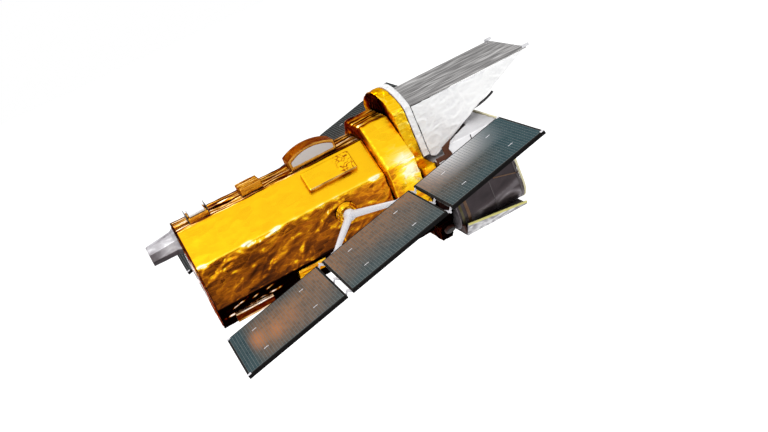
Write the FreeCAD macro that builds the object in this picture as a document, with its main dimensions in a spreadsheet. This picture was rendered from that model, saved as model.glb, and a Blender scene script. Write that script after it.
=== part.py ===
"""Space observatory: an eight-sided foil-wrapped bus with an instrument section,
a slanted sunshade, a rounded instrument hood and two turning solar wings.

Axes: +X forwards to the sunshade, +Y to the left wing, +Z up. The origin is the
centre of the interface ring's aft face. Lengths are in millimetres.
"""
import FreeCAD, Part
import math
import os
import Sketcher
from types import SimpleNamespace

Vector = FreeCAD.Vector
Rotation = FreeCAD.Rotation

doc = FreeCAD.newDocument("Observatory")
sheet = doc.addObject("Spreadsheet::Sheet", "Sizes")

driving_sizes = {
    # bus: eight flats, long axis forwards
    "bus_flats": 1418,
    "bus_end": 2633,
    "bus_edge_round": 18,
    # interface ring on the aft face, sunk into the bus but for its proud lip
    "ring_outer": 330,
    "ring_inner": 266,
    "ring_depth": 30,
    "ring_proud": 5,
    "ring_gap": 0.3,
    "bolt_circle": 600,
    "bolt_hole": 4.5,
    # aft horn: eight-sided tapered hood, open aft
    "horn_length": 402,
    "horn_flare": 50,
    "horn_base_round": 188,
    "horn_neck_round": 158,
    "horn_tip_round": 134,
    "horn_base_height": 528,
    "horn_tip_height": 509,
    "horn_wall": 10,
    # boxes on the top flat
    "antenna_start": 227,
    "antenna_length": 276,
    "antenna_width": 360,
    "antenna_base_height": 58,
    "antenna_cover_height": 40,
    "antenna_cover_inset": 14,
    "end_plate_thick": 7,
    "end_plate_rise": 16,
    "mid_box_start": 959,
    "mid_box_length": 300,
    "mid_box_width": 360,
    "mid_box_height": 96,
    "box_edge_round": 14,
    # arched housing on the top flat
    "arch_start": 1667,
    "arch_length": 660,
    "arch_width": 340,
    "arch_side_height": 130,
    "arch_rise": 82,
    "arch_rim": 34,
    "arch_recess": 16,
    "arch_face_thick": 9,
    # raised pads on the upper slanted flats
    "side_pad_start": 1703,
    "side_pad_length": 684,
    "side_pad_drop": 78,
    "side_pad_width": 287,
    "side_pad_height": 70,
    "side_pad_round": 22,
    # pads on the lower slanted flats
    "low_pad_height": 46,
    "low_pad_round": 12,
    "low_aft_start": 203,
    "low_aft_length": 540,
    "low_aft_rise": 70,
    "low_aft_width": 230,
    "low_mid_start": 1127,
    "low_mid_length": 396,
    "low_mid_rise": 330,
    "low_mid_width": 200,
    # instrument section
    "collar_flats": 1730,
    "collar_length": 417,
    "collar_round": 62,
    # instrument deck: wide below, narrow and arched above
    "deck_thick": 177,
    "deck_half_width": 1004,
    "deck_step_height": 200,
    "deck_bottom": 1004,
    "deck_foot_half": 490,
    "deck_shoulder_drop": 430,
    "deck_arch_rise": 231,
    "deck_edge_round": 26,
    # sunshade: frame, top plate and two slanted side walls
    "shade_half_width": 600,
    "shade_height": 899,
    "shade_frame_depth": 90,
    "shade_frame_wall": 34,
    "shade_reach": 5063,
    "shade_plate": 20,
    "shade_wall": 18,
    "scarf_start": 3392,
    "scarf_height": 136,
    "shade_heel_height": 172,
    "fitting_length": 105,
    "fitting_width": 26,
    "fitting_height": 34,
    "fitting_overlap": 60,
    # hood: flat top, rounded bottom, slanted aft face
    "hood_overhang": 56,
    "hood_top": 354,
    "hood_bottom": 832,
    "hood_corner": 310,
    "hood_end": 4186,
    "hood_slant_start": 200,
    "hood_slant": 130,
    # notch in the hood's aft top, where the shade's walls dip into it
    "notch_gap": 20,
    "notch_cheek": 130,
    "hood_wall": 26,
    "hood_recess": 44,
    "mask_thick": 18,
    "mask_gap": 1,
    "rim_depth": 26,
    "tray_end": 4140,
    "tray_plate": 18,
    "tray_aft_height": 145,
    "tray_aft_lean": 62,
    "tray_front_height": 44,
    # struts from deck to hood
    "strut_thick": 26,
    "strut_band": 58,
    "strut_arm_height": 204,
    "strut_foot_plate": 16,
    "strut_foot_reach": 90,
    "strut_foot_low": 136,
    "strut_foot_tall": 58,
    "strut_knee_x": 128,
    "strut_elbow_x": 225,
    "strut_elbow_height": 234,
    "strut_elbow_drop": 15,
    "strut_waist_x": 200,
    "strut_waist_height": 310,
    "strut_shoulder_height": 360,
    "strut_top_x": 266,
    "strut_top_height": 411,
    # rod antenna on the hood's front rim
    "rod_radius": 17,
    "rod_bend": 900,
    "rod_sweep_deg": 25.5,
    "rod_side": -100,
    "rod_drop": 22,
    # telescope tubes, hung inside the shade's frame and sharing its width by their parts
    "tube_headroom": 11,
    "wide_tube_part": 232,
    "slim_tube_part": 184,
    "wide_tube_gap": 34,
    "tube_split": 184,
    "slim_tube_gap": 82,
    "tube_length": 430,
    "tube_wall": 12,
    "tube_floor": 60,
    # wings
    "drive_x": 1997,
    "drive_height": 51,
    "wing_pitch_deg": 12.3,
    "wing_inner": 1481,
    "panel_width": 1200,
    "panel_length": 1350,
    "panel_thick": 42,
    "panel_edge": 5,
    "panel_gap": 70,
    "blanket_thick": 2,
    "blanket_margin": 26,
    # drive and yoke
    "boot_radius": 152,
    "boot_mouth": 110,
    "boot_bore": 90,
    "boot_depth": 56,
    "boot_floor": 14,
    "shaft_radius": 30,
    "shaft_gap": 0.4,
    "shaft_end_gap": 3,
    "hub_radius": 78,
    "hub_out": 812,
    "boss_radius": 52,
    "boss_reach": 96,
    "arm_root": 48,
    "arm_tip": 29,
    "arm_spread": 468,
    "foot_length": 120,
    "foot_height": 38,
    "foot_thick": 14,
    # panel hinges
    "hinge_clearance": 10,
    "hinge_inset": 52,
    "hinge_mid": 672,
    "knuckle_radius": 11,
    "knuckle_width": 18,
    "knuckle_gap": 1.5,
    "pin_radius": 5,
    "pin_gap": 0.4,
    "hinge_foot": 15,
    "hinge_web": 12,
    # one overrun serves every cut
    "overrun": 20,
}
bolt_count = 24


class Amount:
    """A size as a number and as the sheet formula that gives it."""

    def __init__(self, value, text):
        self.value = value
        self.text = text

    def __add__(self, other):
        other = amount(other)
        return Amount(self.value + other.value, f"({self.text} + {other.text})")

    def __sub__(self, other):
        other = amount(other)
        return Amount(self.value - other.value, f"({self.text} - {other.text})")

    def __mul__(self, other):
        other = amount(other)
        return Amount(self.value * other.value, f"({self.text} * {other.text})")

    def __truediv__(self, other):
        other = amount(other)
        return Amount(self.value / other.value, f"({self.text} / {other.text})")

    def __neg__(self):
        return Amount(-self.value, f"(-1 * {self.text})")

    def __radd__(self, other):
        return amount(other) + self

    def __rsub__(self, other):
        return amount(other) - self

    def __rmul__(self, other):
        return amount(other) * self


def amount(number):
    """A plain number as an Amount."""
    if isinstance(number, Amount):
        return number
    return Amount(float(number), f"{float(number):.9f}")


def cosine(angle):
    return Amount(math.cos(math.radians(angle.value)), f"cos({angle.text})")


def tangent(angle):
    return Amount(math.tan(math.radians(angle.value)), f"tan({angle.text})")


def angle_of(rise, run):
    """Angle in degrees whose tangent is rise over run."""
    value = math.degrees(math.atan(rise.value / run.value))
    return Amount(value, f"atan({rise.text} / {run.text})")


def hypotenuse(one, two):
    value = math.hypot(one.value, two.value)
    return Amount(value, f"sqrt({one.text} ^ 2 + {two.text} ^ 2)")


def fill_sheet():
    """Writes each size into its own cell and hands back the sizes by name."""
    named = {}
    for row, (name, number) in enumerate(driving_sizes.items(), start=1):
        sheet.set(f"A{row}", name)
        sheet.set(f"B{row}", str(number))
        sheet.setAlias(f"B{row}", name)
        named[name] = Amount(float(number), f"Sizes.{name}")
    doc.recompute()
    return SimpleNamespace(**named)


s = fill_sheet()
nodes = []

along_x = Vector(1, 0, 0)
along_y = Vector(0, 1, 0)
along_z = Vector(0, 0, 1)
origin = Vector(0, 0, 0)

# Turns that stand a flat shape up: its normal to +X, or to the right (-Y)
facing_forward = Rotation(along_y, along_z, along_x, "ZXY")
facing_right = Rotation(along_x, 90)
eighth_turn = Rotation(along_z, 22.5)


def bind(item, name, number):
    """Ties one property of an object to the sheet."""
    item.setExpression(name, amount(number).text)


def move(item, x=0, y=0, z=0, turn=None):
    """Places an object at sheet-bound coordinates, with a fixed turn if given."""
    if turn is not None:
        item.Placement = FreeCAD.Placement(origin, turn)
    for letter, number in zip("xyz", (x, y, z)):
        bind(item, f"Placement.Base.{letter}", number)
    return item


def turn_by(item, axis, angle):
    """Turns an object about an axis by a sheet-bound angle."""
    item.Placement = FreeCAD.Placement(item.Placement.Base, Rotation(axis, 1))
    bind(item, "Placement.Rotation.Angle", angle)
    return item


def keep(item, label):
    """Marks an object as a finished sub-part under its own name."""
    item.Label = label
    nodes.append(item)
    return item


def block(name, length, width, height, x, y, z):
    """A box from its lowest corner."""
    item = doc.addObject("Part::Box", name)
    bind(item, "Length", length)
    bind(item, "Width", width)
    bind(item, "Height", height)
    return move(item, x, y, z)


def drum(name, radius, height, x, y, z, turn=None):
    """A cylinder whose axis is +Z before the turn."""
    item = doc.addObject("Part::Cylinder", name)
    bind(item, "Radius", radius)
    bind(item, "Height", height)
    return move(item, x, y, z, turn)


def joined(name, pieces):
    item = doc.addObject("Part::MultiFuse", name)
    item.Shapes = pieces
    item.Refine = True
    return item


def less(name, base, tool):
    item = doc.addObject("Part::Cut", name)
    item.Base = base
    item.Tool = tool
    item.Refine = True
    return item


def grouped(name, pieces):
    item = doc.addObject("Part::Compound", name)
    item.Links = pieces
    return item


def mirrored(source, label):
    """The same sub-part on the other side of the object's middle plane."""
    item = doc.addObject("Part::Mirroring", label)
    item.Source = source
    item.Base = origin
    item.Normal = along_y
    return keep(item, label)


def origin_plane(body, role):
    return next(part for part in body.Origin.OriginFeatures if part.Role == role)


def new_body(name):
    return doc.addObject("PartDesign::Body", name)


def new_sketch(body, name, role, height):
    """A sketch on one of the body's own planes, lifted by a sheet-bound height."""
    sketch = body.newObject("Sketcher::SketchObject", name)
    sketch.AttachmentSupport = [(origin_plane(body, role), "")]
    sketch.MapMode = "FlatFace"
    bind(sketch, "AttachmentOffset.Base.z", height)
    return sketch


def fix_point(sketch, side, end, point):
    """Dimensions one end of a side from the sketch's origin, both ways."""
    for kind, number in (("DistanceX", point[0]), ("DistanceY", point[1])):
        rule = Sketcher.Constraint(kind, -1, 1, side, end, number.value)
        index = sketch.addConstraint(rule)
        sketch.setExpression(f"Constraints[{index}]", number.text)


def draw_outline(sketch, corners, bows=None):
    """A closed outline. bows gives, for a side's number, how far it bows outwards."""
    bows = bows or {}
    points = [(amount(a), amount(b)) for a, b in corners]
    count = len(points)
    middle_a = sum(a.value for a, _ in points) / count
    middle_b = sum(b.value for _, b in points) / count
    middle = Vector(middle_a, middle_b, 0)
    ends = []
    for side in range(count):
        start = points[side]
        finish = points[(side + 1) % count]
        first = Vector(start[0].value, start[1].value, 0)
        second = Vector(finish[0].value, finish[1].value, 0)
        if side not in bows:
            sketch.addGeometry(Part.LineSegment(first, second), False)
            ends.append((1, 2))
            continue
        chord = second - first
        outwards = Vector(chord.y, -chord.x, 0).normalize()
        half_way = (first + second) * 0.5
        if outwards.dot(half_way - middle) < 0:
            outwards = outwards * -1
        crest = half_way + outwards * bows[side].value
        arc = Part.Arc(first, crest, second)
        sketch.addGeometry(arc, False)
        forwards = (sketch.Geometry[side].StartPoint - first).Length < 1e-6
        ends.append((1, 2) if forwards else (2, 1))
    for side in range(count):
        following = (side + 1) % count
        rule = Sketcher.Constraint("Coincident", side, ends[side][1], following, ends[following][0])
        sketch.addConstraint(rule)
    for side, point in enumerate(points):
        fix_point(sketch, side, ends[side][0], point)
    for side, rise in bows.items():
        start = points[side]
        finish = points[(side + 1) % count]
        half = hypotenuse(start[0] - finish[0], start[1] - finish[1]) / 2
        radius = (half * half + rise * rise) / (rise * 2)
        index = sketch.addConstraint(Sketcher.Constraint("Radius", side, radius.value))
        sketch.setExpression(f"Constraints[{index}]", radius.text)
    return sketch


def draw_circle(sketch, across, up, radius):
    """A circle at a dimensioned centre."""
    across, up, radius = amount(across), amount(up), amount(radius)
    circle = Part.Circle(Vector(across.value, up.value, 0), along_z, radius.value)
    number = sketch.addGeometry(circle, False)
    fix_point(sketch, number, 3, (across, up))
    index = sketch.addConstraint(Sketcher.Constraint("Radius", number, radius.value))
    sketch.setExpression(f"Constraints[{index}]", radius.text)


def pad(body, name, sketch, length):
    item = body.newObject("PartDesign::Pad", name)
    item.Profile = sketch
    bind(item, "Length", length)
    body.Tip = item
    return item


def pocket(body, name, sketch, length):
    """Cuts forwards along the sketch's own normal."""
    item = body.newObject("PartDesign::Pocket", name)
    item.Profile = sketch
    item.Reversed = True
    bind(item, "Length", length)
    body.Tip = item
    return item


def round_edges(body, name, base, radius, wanted):
    """Rounds the edges of a feature that the test wants."""
    doc.recompute()
    chosen = []
    for number, edge in enumerate(base.Shape.Edges, start=1):
        if wanted(edge):
            chosen.append(f"Edge{number}")
    item = body.newObject("PartDesign::Fillet", name)
    item.Base = (base, chosen)
    bind(item, "Radius", radius)
    body.Tip = item
    return item


def runs_along(axis):
    """A test for straight edges that run along an axis."""
    def wanted(edge):
        ends = [vertex.Point for vertex in edge.Vertexes]
        if len(ends) < 2:
            return False
        run = ends[1] - ends[0]
        return abs(run.dot(axis)) > 0.999 * run.Length
    return wanted


def outline_body(name, role, corners, start, length, bows=None):
    """A straight solid of one outline, from a height above an origin plane."""
    body = new_body(name)
    sketch = new_sketch(body, f"{name}_outline", role, start)
    draw_outline(sketch, corners, bows)
    pad(body, f"{name}_pad", sketch, length)
    return body


def eight_flats(flats):
    """Corners of a regular octagon that stands on a flat."""
    far = flats / 2
    near = far * tangent(half_facet)
    return [
        (near, far), (far, near), (far, -near), (near, -far),
        (-near, -far), (-far, -near), (-far, near), (-near, far),
    ]


# Places that more than one sub-part uses
half_facet = amount(22.5)
bus_top = s.bus_flats / 2
bus_corner = bus_top * tangent(half_facet)
collar_end = s.bus_end + s.collar_length
deck_face = collar_end + s.deck_thick
hood_half_width = s.deck_half_width + s.hood_overhang
slope = amount(45)
under_slope = 180 - slope
# how far the shade's slanted lower edge runs forwards for each millimetre that it climbs
scarf_lean = (s.shade_reach - s.scarf_start) / (s.shade_height - s.scarf_height)


def make_bus():
    body = outline_body("bus_solid", "YZ_Plane", eight_flats(s.bus_flats), s.ring_proud,
                        s.bus_end - s.ring_proud)
    round_edges(body, "bus_edges", body.Tip, s.bus_edge_round, runs_along(along_x))
    seat = new_sketch(body, "ring_seat", "YZ_Plane", s.ring_proud)
    draw_circle(seat, 0, 0, s.ring_outer + s.ring_gap)
    draw_circle(seat, 0, 0, s.ring_inner - s.ring_gap)
    pocket(body, "ring_groove", seat, s.ring_depth - s.ring_proud)
    keep(body, "bus_body")


def make_ring():
    body = new_body("ring_solid")
    face = new_sketch(body, "ring_face", "YZ_Plane", 0)
    draw_circle(face, 0, 0, s.ring_outer)
    draw_circle(face, 0, 0, s.ring_inner)
    pad(body, "ring_pad", face, s.ring_depth)
    hole = new_sketch(body, "bolt_hole_place", "YZ_Plane", 0)
    draw_circle(hole, 0, s.bolt_circle / 2, s.bolt_hole)
    cut = pocket(body, "bolt_hole_cut", hole, s.ring_depth)
    holes = body.newObject("PartDesign::PolarPattern", "bolt_holes")
    holes.Originals = [cut]
    axis = next(part for part in body.Origin.OriginFeatures if part.Role == "X_Axis")
    holes.Axis = (axis, [""])
    holes.Angle = 360
    holes.Occurrences = bolt_count
    body.Tip = holes
    keep(body, "interface_ring")


def horn_section(name, x, height, radius):
    """One eight-sided section of the horn, square to X."""
    item = doc.addObject("Part::RegularPolygon", name)
    item.Polygon = 8
    bind(item, "Circumradius", radius)
    return move(item, x, 0, height, facing_forward * eighth_turn)


def horn_loft(name, sections):
    item = doc.addObject("Part::Loft", name)
    item.Sections = sections
    item.Solid = True
    item.Ruled = True
    return item


def make_horn():
    tip = s.ring_proud - s.horn_length
    neck = s.ring_proud - s.horn_flare
    drop = s.horn_base_height - s.horn_tip_height
    outer = horn_loft("horn_outside", [
        horn_section("horn_base", s.ring_proud, s.horn_base_height, s.horn_base_round),
        horn_section("horn_neck", neck, s.horn_base_height, s.horn_neck_round),
        horn_section("horn_tip", tip, s.horn_tip_height, s.horn_tip_round),
    ])
    # the inside runs past the mouth along the same taper
    taper = (s.horn_neck_round - s.horn_tip_round) / (s.horn_length - s.horn_flare)
    sink = drop / (s.horn_length - s.horn_flare)
    inner = horn_loft("horn_inside", [
        horn_section("horn_inner_neck", neck, s.horn_base_height, s.horn_neck_round - s.horn_wall),
        horn_section("horn_inner_tip", tip - s.overrun, s.horn_tip_height - sink * s.overrun,
                     s.horn_tip_round - s.horn_wall - taper * s.overrun),
    ])
    keep(less("horn_cut", outer, inner), "aft_horn")


def rounded_box(name, length, width, height, x, y, z, radius):
    """A box with every edge rounded but those of its seat."""
    corners = [(x, y), (x + length, y), (x + length, y + width), (x, y + width)]
    body = outline_body(name, "XY_Plane", corners, z, height)
    base = amount(z).value

    def above_seat(edge):
        return edge.CenterOfMass.z > base + 1e-3
    round_edges(body, f"{name}_edges", body.Tip, radius, above_seat)
    return body


def make_top_boxes():
    half = s.antenna_width / 2
    base = rounded_box("antenna_solid", s.antenna_length, s.antenna_width, s.antenna_base_height,
                       s.antenna_start, -half, bus_top, s.box_edge_round)
    keep(base, "antenna_base")
    inset = s.antenna_cover_inset + s.box_edge_round
    base_top = bus_top + s.antenna_base_height
    cover = rounded_box("cover_solid", s.antenna_length - inset * 2, s.antenna_width - inset * 2,
                        s.antenna_cover_height, s.antenna_start + inset, inset - half, base_top,
                        s.box_edge_round)
    keep(cover, "antenna_cover")
    rise = s.antenna_base_height + s.antenna_cover_height + s.end_plate_rise
    plates = []
    for name, x in (("aft_plate", s.antenna_start - s.end_plate_thick),
                    ("front_plate", s.antenna_start + s.antenna_length)):
        plates.append(block(name, s.end_plate_thick, s.antenna_width - inset * 2, rise,
                            x, inset - half, bus_top))
    keep(grouped("plate_pair", plates), "antenna_end_plates")
    middle = rounded_box("mid_box_solid", s.mid_box_length, s.mid_box_width, s.mid_box_height,
                         s.mid_box_start, -s.mid_box_width / 2, bus_top, s.box_edge_round)
    keep(middle, "top_box")


def arch_corners(inset):
    """The arched face seen from the side, drawn in by an inset."""
    low = bus_top + inset
    high = bus_top + s.arch_side_height - inset
    start = s.arch_start + inset
    end = s.arch_start + s.arch_length - inset
    return [(start, low), (end, low), (end, high), (start, high)]


def make_arch():
    half = s.arch_width / 2
    corners = arch_corners(amount(0))
    top_side = len(corners) - 2
    rise = {top_side: s.arch_rise}
    solid = outline_body("arch_solid", "XZ_Plane", corners, -half, s.arch_width, rise)
    recess_depth = s.arch_recess + s.overrun
    recesses = []
    faces = []
    for name, recess_start, face_start in (
            ("right", half - s.arch_recess, half - s.arch_recess),
            ("left", -half - s.overrun, s.arch_recess - half - s.arch_face_thick)):
        recesses.append(outline_body(f"arch_recess_{name}", "XZ_Plane", arch_corners(s.arch_rim),
                                     recess_start, recess_depth, rise))
        faces.append(outline_body(f"arch_face_{name}", "XZ_Plane", arch_corners(s.arch_rim),
                                  face_start, s.arch_face_thick, rise))
    keep(less("arch_cut", solid, joined("arch_recesses", recesses)), "arch_housing")
    keep(grouped("arch_face_pair", faces), "arch_faces")


def make_side_pads():
    length, width = s.side_pad_length, s.side_pad_width
    body = rounded_box("side_pad_solid", length, width, s.side_pad_height, 0, 0, 0, s.side_pad_round)
    along = (s.side_pad_drop + width) * cosine(slope)
    turn_by(body, along_x, slope)
    move(body, s.side_pad_start, -(bus_corner + along), bus_top - along)
    keep(body, "side_pad_right")
    mirrored(body, "side_pad_left")


def make_low_pads():
    pads = []
    for name, start, length, rise, width in (
            ("low_aft", s.low_aft_start, s.low_aft_length, s.low_aft_rise, s.low_aft_width),
            ("low_mid", s.low_mid_start, s.low_mid_length, s.low_mid_rise, s.low_mid_width)):
        body = rounded_box(f"{name}_solid", length, width, s.low_pad_height, 0, 0, 0, s.low_pad_round)
        up = rise * cosine(slope)
        turn_by(body, along_x, under_slope)
        move(body, start, -(bus_corner + up), up - bus_top)
        pads.append(body)
    pair = keep(grouped("low_pad_pair", pads), "lower_pads_right")
    mirrored(pair, "lower_pads_left")


def make_collar():
    body = outline_body("collar_solid", "YZ_Plane", eight_flats(s.collar_flats), s.bus_end,
                        s.collar_length)
    front = collar_end.value

    def away_from_deck(edge):
        return edge.CenterOfMass.x < front - 1e-3
    round_edges(body, "collar_edges", body.Tip, s.collar_round, away_from_deck)
    keep(body, "collar")


def make_deck():
    wide, foot = s.deck_half_width, s.deck_foot_half
    narrow, step = s.shade_half_width, s.deck_step_height
    corners = [
        (-narrow, s.shade_height), (-narrow, step), (-wide, step), (-wide, -s.deck_shoulder_drop),
        (-foot, -s.deck_bottom), (foot, -s.deck_bottom), (wide, -s.deck_shoulder_drop),
        (wide, step), (narrow, step), (narrow, s.shade_height),
    ]
    arched_side = len(corners) - 1
    body = outline_body("deck_solid", "YZ_Plane", corners, collar_end, s.deck_thick,
                        {arched_side: s.deck_arch_rise})
    aft = collar_end.value

    def outer_aft_edge(edge):
        return abs(edge.BoundBox.XMax - aft) < 1e-3
    round_edges(body, "deck_edges", body.Tip, s.deck_edge_round, outer_aft_edge)
    keep(body, "instrument_deck")


def make_shade():
    wide, step = s.shade_half_width, s.deck_step_height
    start = deck_face + s.shade_frame_depth
    corners = [(-wide, s.shade_height), (-wide, step), (wide, step), (wide, s.shade_height)]
    arched_side = len(corners) - 1
    frame = outline_body("shade_frame_solid", "YZ_Plane", corners, deck_face, s.shade_frame_depth,
                         {arched_side: s.deck_arch_rise})
    inside = wide - s.shade_frame_wall
    height = s.shade_height - s.shade_frame_wall - step + s.overrun
    gap = block("shade_frame_gap", s.shade_frame_depth + s.overrun * 2, inside * 2, height,
                deck_face - s.overrun, -inside, step - s.overrun)
    keep(less("shade_frame_cut", frame, gap), "shade_frame")
    top = block("shade_top_plate", s.shade_reach - start, wide * 2, s.shade_plate,
                start, -wide, s.shade_height - s.shade_plate)
    keep(top, "shade_top")
    under = s.shade_height - s.shade_plate
    profile = [
        (start, under), (start, s.shade_heel_height), (s.scarf_start, s.scarf_height),
        (s.shade_reach - scarf_lean * s.shade_plate, under),
    ]
    wall = outline_body("shade_wall_solid", "XZ_Plane", profile, wide - s.shade_wall, s.shade_wall)
    keep(wall, "shade_side_right")
    mirrored(wall, "shade_side_left")
    fittings = []
    for name, y in (("right", -wide), ("left", wide - s.fitting_width)):
        fittings.append(block(f"fitting_{name}", s.fitting_length, s.fitting_width, s.fitting_height,
                              s.shade_reach - s.fitting_overlap, y, s.shade_height))
    keep(grouped("fitting_pair", fittings), "shade_tip_fittings")


def hood_plate(name, start, length, inset):
    """A plate or block of the hood's cross-section, drawn in by an inset."""
    inset = amount(inset)
    wide = hood_half_width - inset
    top = s.hood_top - inset
    bottom = inset - s.hood_bottom
    corners = [(-wide, bottom), (wide, bottom), (wide, top), (-wide, top)]
    body = outline_body(name, "YZ_Plane", corners, start, length)

    def low_edges(edge):
        return runs_along(along_x)(edge) and edge.CenterOfMass.z < 0
    round_edges(body, f"{name}_low", body.Tip, s.hood_corner - inset, low_edges)
    return body


def shade_notch():
    """The plan of the hood's aft notch, clear of the shade's walls all round."""
    floor = s.scarf_height - s.notch_gap
    half = s.shade_half_width + s.notch_gap
    front = s.scarf_start + scarf_lean * (s.hood_top - s.scarf_height) + s.notch_gap
    corner = deck_face + s.notch_cheek
    cheek_lean = (front - corner) / (hood_half_width - half)
    aft = deck_face - s.overrun
    wide = hood_half_width + s.overrun
    outer = corner - cheek_lean * s.overrun
    corners = [
        (aft, -wide), (outer, -wide), (front, -half), (front, half), (outer, wide), (aft, wide),
    ]
    return outline_body("hood_notch", "XY_Plane", corners, floor, s.hood_top + s.overrun - floor)


def make_hood():
    length = s.hood_end - deck_face
    solid = hood_plate("hood_solid", deck_face, length, 0)
    recess = hood_plate("hood_front", s.hood_end - s.hood_recess, s.hood_recess + s.overrun,
                        s.hood_wall)
    # the aft face leans forwards above the slant's start
    tall = s.hood_top + s.hood_slant_start
    lean = s.hood_slant / tall
    high = s.hood_top + s.overrun
    wedge = outline_body("hood_wedge", "XZ_Plane", [
        (deck_face - s.overrun, -s.hood_slant_start - s.overrun / lean),
        (deck_face + s.hood_slant + lean * s.overrun, high),
        (deck_face - s.overrun, high),
    ], -hood_half_width - s.overrun, (hood_half_width + s.overrun) * 2)
    tools = joined("hood_tools", [recess, wedge, shade_notch()])
    keep(less("hood_cut", solid, tools), "hood_shell")
    mask = hood_plate("mask_solid", s.hood_end - s.hood_recess, s.mask_thick,
                      s.hood_wall + s.mask_gap)
    keep(mask, "mask_panel")
    rim_outside = hood_plate("rim_outside", s.hood_end, s.rim_depth, 0)
    rim_inside = hood_plate("rim_inside", s.hood_end - s.overrun, s.rim_depth + s.overrun * 2,
                            s.hood_wall)
    keep(less("rim_cut", rim_outside, rim_inside), "hood_rim")


def make_tray():
    """A shallow tray under the hood: floor and two tapering side walls."""
    wide = hood_half_width + s.tray_plate
    floor_low = -s.hood_bottom - s.tray_plate
    length = s.tray_end - deck_face
    floor = block("tray_floor", length, wide * 2, s.tray_plate, deck_face, -wide, floor_low)
    profile = [
        (deck_face, floor_low), (s.tray_end, floor_low),
        (s.tray_end, floor_low + s.tray_front_height),
        (deck_face + s.tray_aft_lean, floor_low + s.tray_aft_height),
    ]
    walls = []
    for name, start in (("right", wide - s.tray_plate), ("left", -wide)):
        walls.append(outline_body(f"tray_wall_{name}", "XZ_Plane", profile, start, s.tray_plate))
    keep(joined("tray_join", [floor] + walls), "hood_tray")


def make_struts():
    """A cranked strut from the deck's front face, along the hood's side and over its top."""
    start = deck_face
    knee = deck_face + s.strut_knee_x
    low = s.strut_arm_height
    plate = start + s.strut_foot_plate
    profile = [
        (start, s.strut_foot_low), (plate, s.strut_foot_low), (plate, low),
        (knee - s.strut_elbow_drop, low), (knee, low - s.strut_elbow_drop),
        (deck_face + s.strut_elbow_x, s.strut_elbow_height),
        (deck_face + s.strut_waist_x, s.strut_waist_height),
        (deck_face + s.strut_top_x, s.strut_top_height),
        (knee, s.strut_shoulder_height), (knee, low + s.strut_band), (start, low + s.strut_band),
    ]
    side = hood_half_width
    strip = outline_body("strut_strip", "XZ_Plane", profile, side, s.strut_thick)
    foot = block("strut_foot", s.strut_foot_plate, side - s.deck_half_width + s.strut_foot_reach,
                 s.strut_foot_tall, start, -side, s.strut_foot_low)
    strut = keep(joined("strut_join", [strip, foot]), "hood_strut_right")
    mirrored(strut, "hood_strut_left")


def make_rod():
    """A rod that leaves the front rim level and bends upwards."""
    item = doc.addObject("Part::Torus", "rod")
    bind(item, "Radius1", s.rod_bend)
    bind(item, "Radius2", s.rod_radius)
    bind(item, "Angle3", s.rod_sweep_deg)
    upright = Rotation(Vector(0, 0, -1), along_x, Vector(0, -1, 0), "ZXY")
    height = s.hood_top - s.rod_drop + s.rod_bend
    move(item, s.hood_end + s.rim_depth, s.rod_side, height, upright)
    keep(item, "rod_antenna")


def make_telescopes():
    inside_frame = s.shade_half_width - s.shade_frame_wall
    both_radii = inside_frame - (s.wide_tube_gap + s.tube_split + s.slim_tube_gap) / 2
    wide = both_radii * s.wide_tube_part / (s.wide_tube_part + s.slim_tube_part)
    slim = both_radii - wide
    height = s.shade_height - s.shade_frame_wall - s.tube_headroom - wide
    for side, radius, y in (("right", wide, wide + s.wide_tube_gap - inside_frame),
                            ("left", slim, inside_frame - s.slim_tube_gap - slim)):
        outside = drum(f"tube_{side}", radius, s.tube_length, deck_face, y, height, facing_forward)
        inside = drum(f"tube_bore_{side}", radius - s.tube_wall,
                      s.tube_length - s.tube_floor + s.overrun,
                      deck_face + s.tube_floor, y, height, facing_forward)
        keep(less(f"tube_cut_{side}", outside, inside), f"telescope_{side}")


def make_boots():
    """A foil boot round the drive, with the drive shaft's bearing in its floor."""
    bore = s.shaft_radius + s.shaft_gap
    seat = bus_top
    floor = seat + s.boot_floor
    mouth = seat + s.boot_depth
    profile = [
        (bore, seat), (s.boot_radius, seat), (s.boot_mouth, mouth), (s.boot_bore, mouth),
        (s.boot_bore, floor), (bore, floor),
    ]
    body = new_body("boot_solid")
    sketch = new_sketch(body, "boot_outline", "XY_Plane", 0)
    draw_outline(sketch, [(radius, -out) for radius, out in profile])
    spin = body.newObject("PartDesign::Revolution", "boot_spin")
    spin.Profile = sketch
    spin.ReferenceAxis = (sketch, ["V_Axis"])
    spin.Angle = 360
    body.Tip = spin
    move(body, s.drive_x, 0, s.drive_height)
    keep(body, "drive_boot_right")
    mirrored(body, "drive_boot_left")


# The wing is built flat about its drive axis, then pitched: x runs along the wing,
# -y outwards and z out of the cell side.
half_panel = s.panel_length / 2
hinge_line = half_panel + s.panel_gap / 2
next_panel = half_panel + s.panel_gap
cell_side = s.panel_thick / 2 + s.blanket_thick
wing_nodes = []


def on_wing(item, label):
    """Pitches a flat wing piece about the drive axis and keeps it."""
    turn_by(item, along_y, -s.wing_pitch_deg)
    move(item, s.drive_x, 0, s.drive_height)
    keep(item, f"right_{label}")
    wing_nodes.append((item, label))


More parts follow.
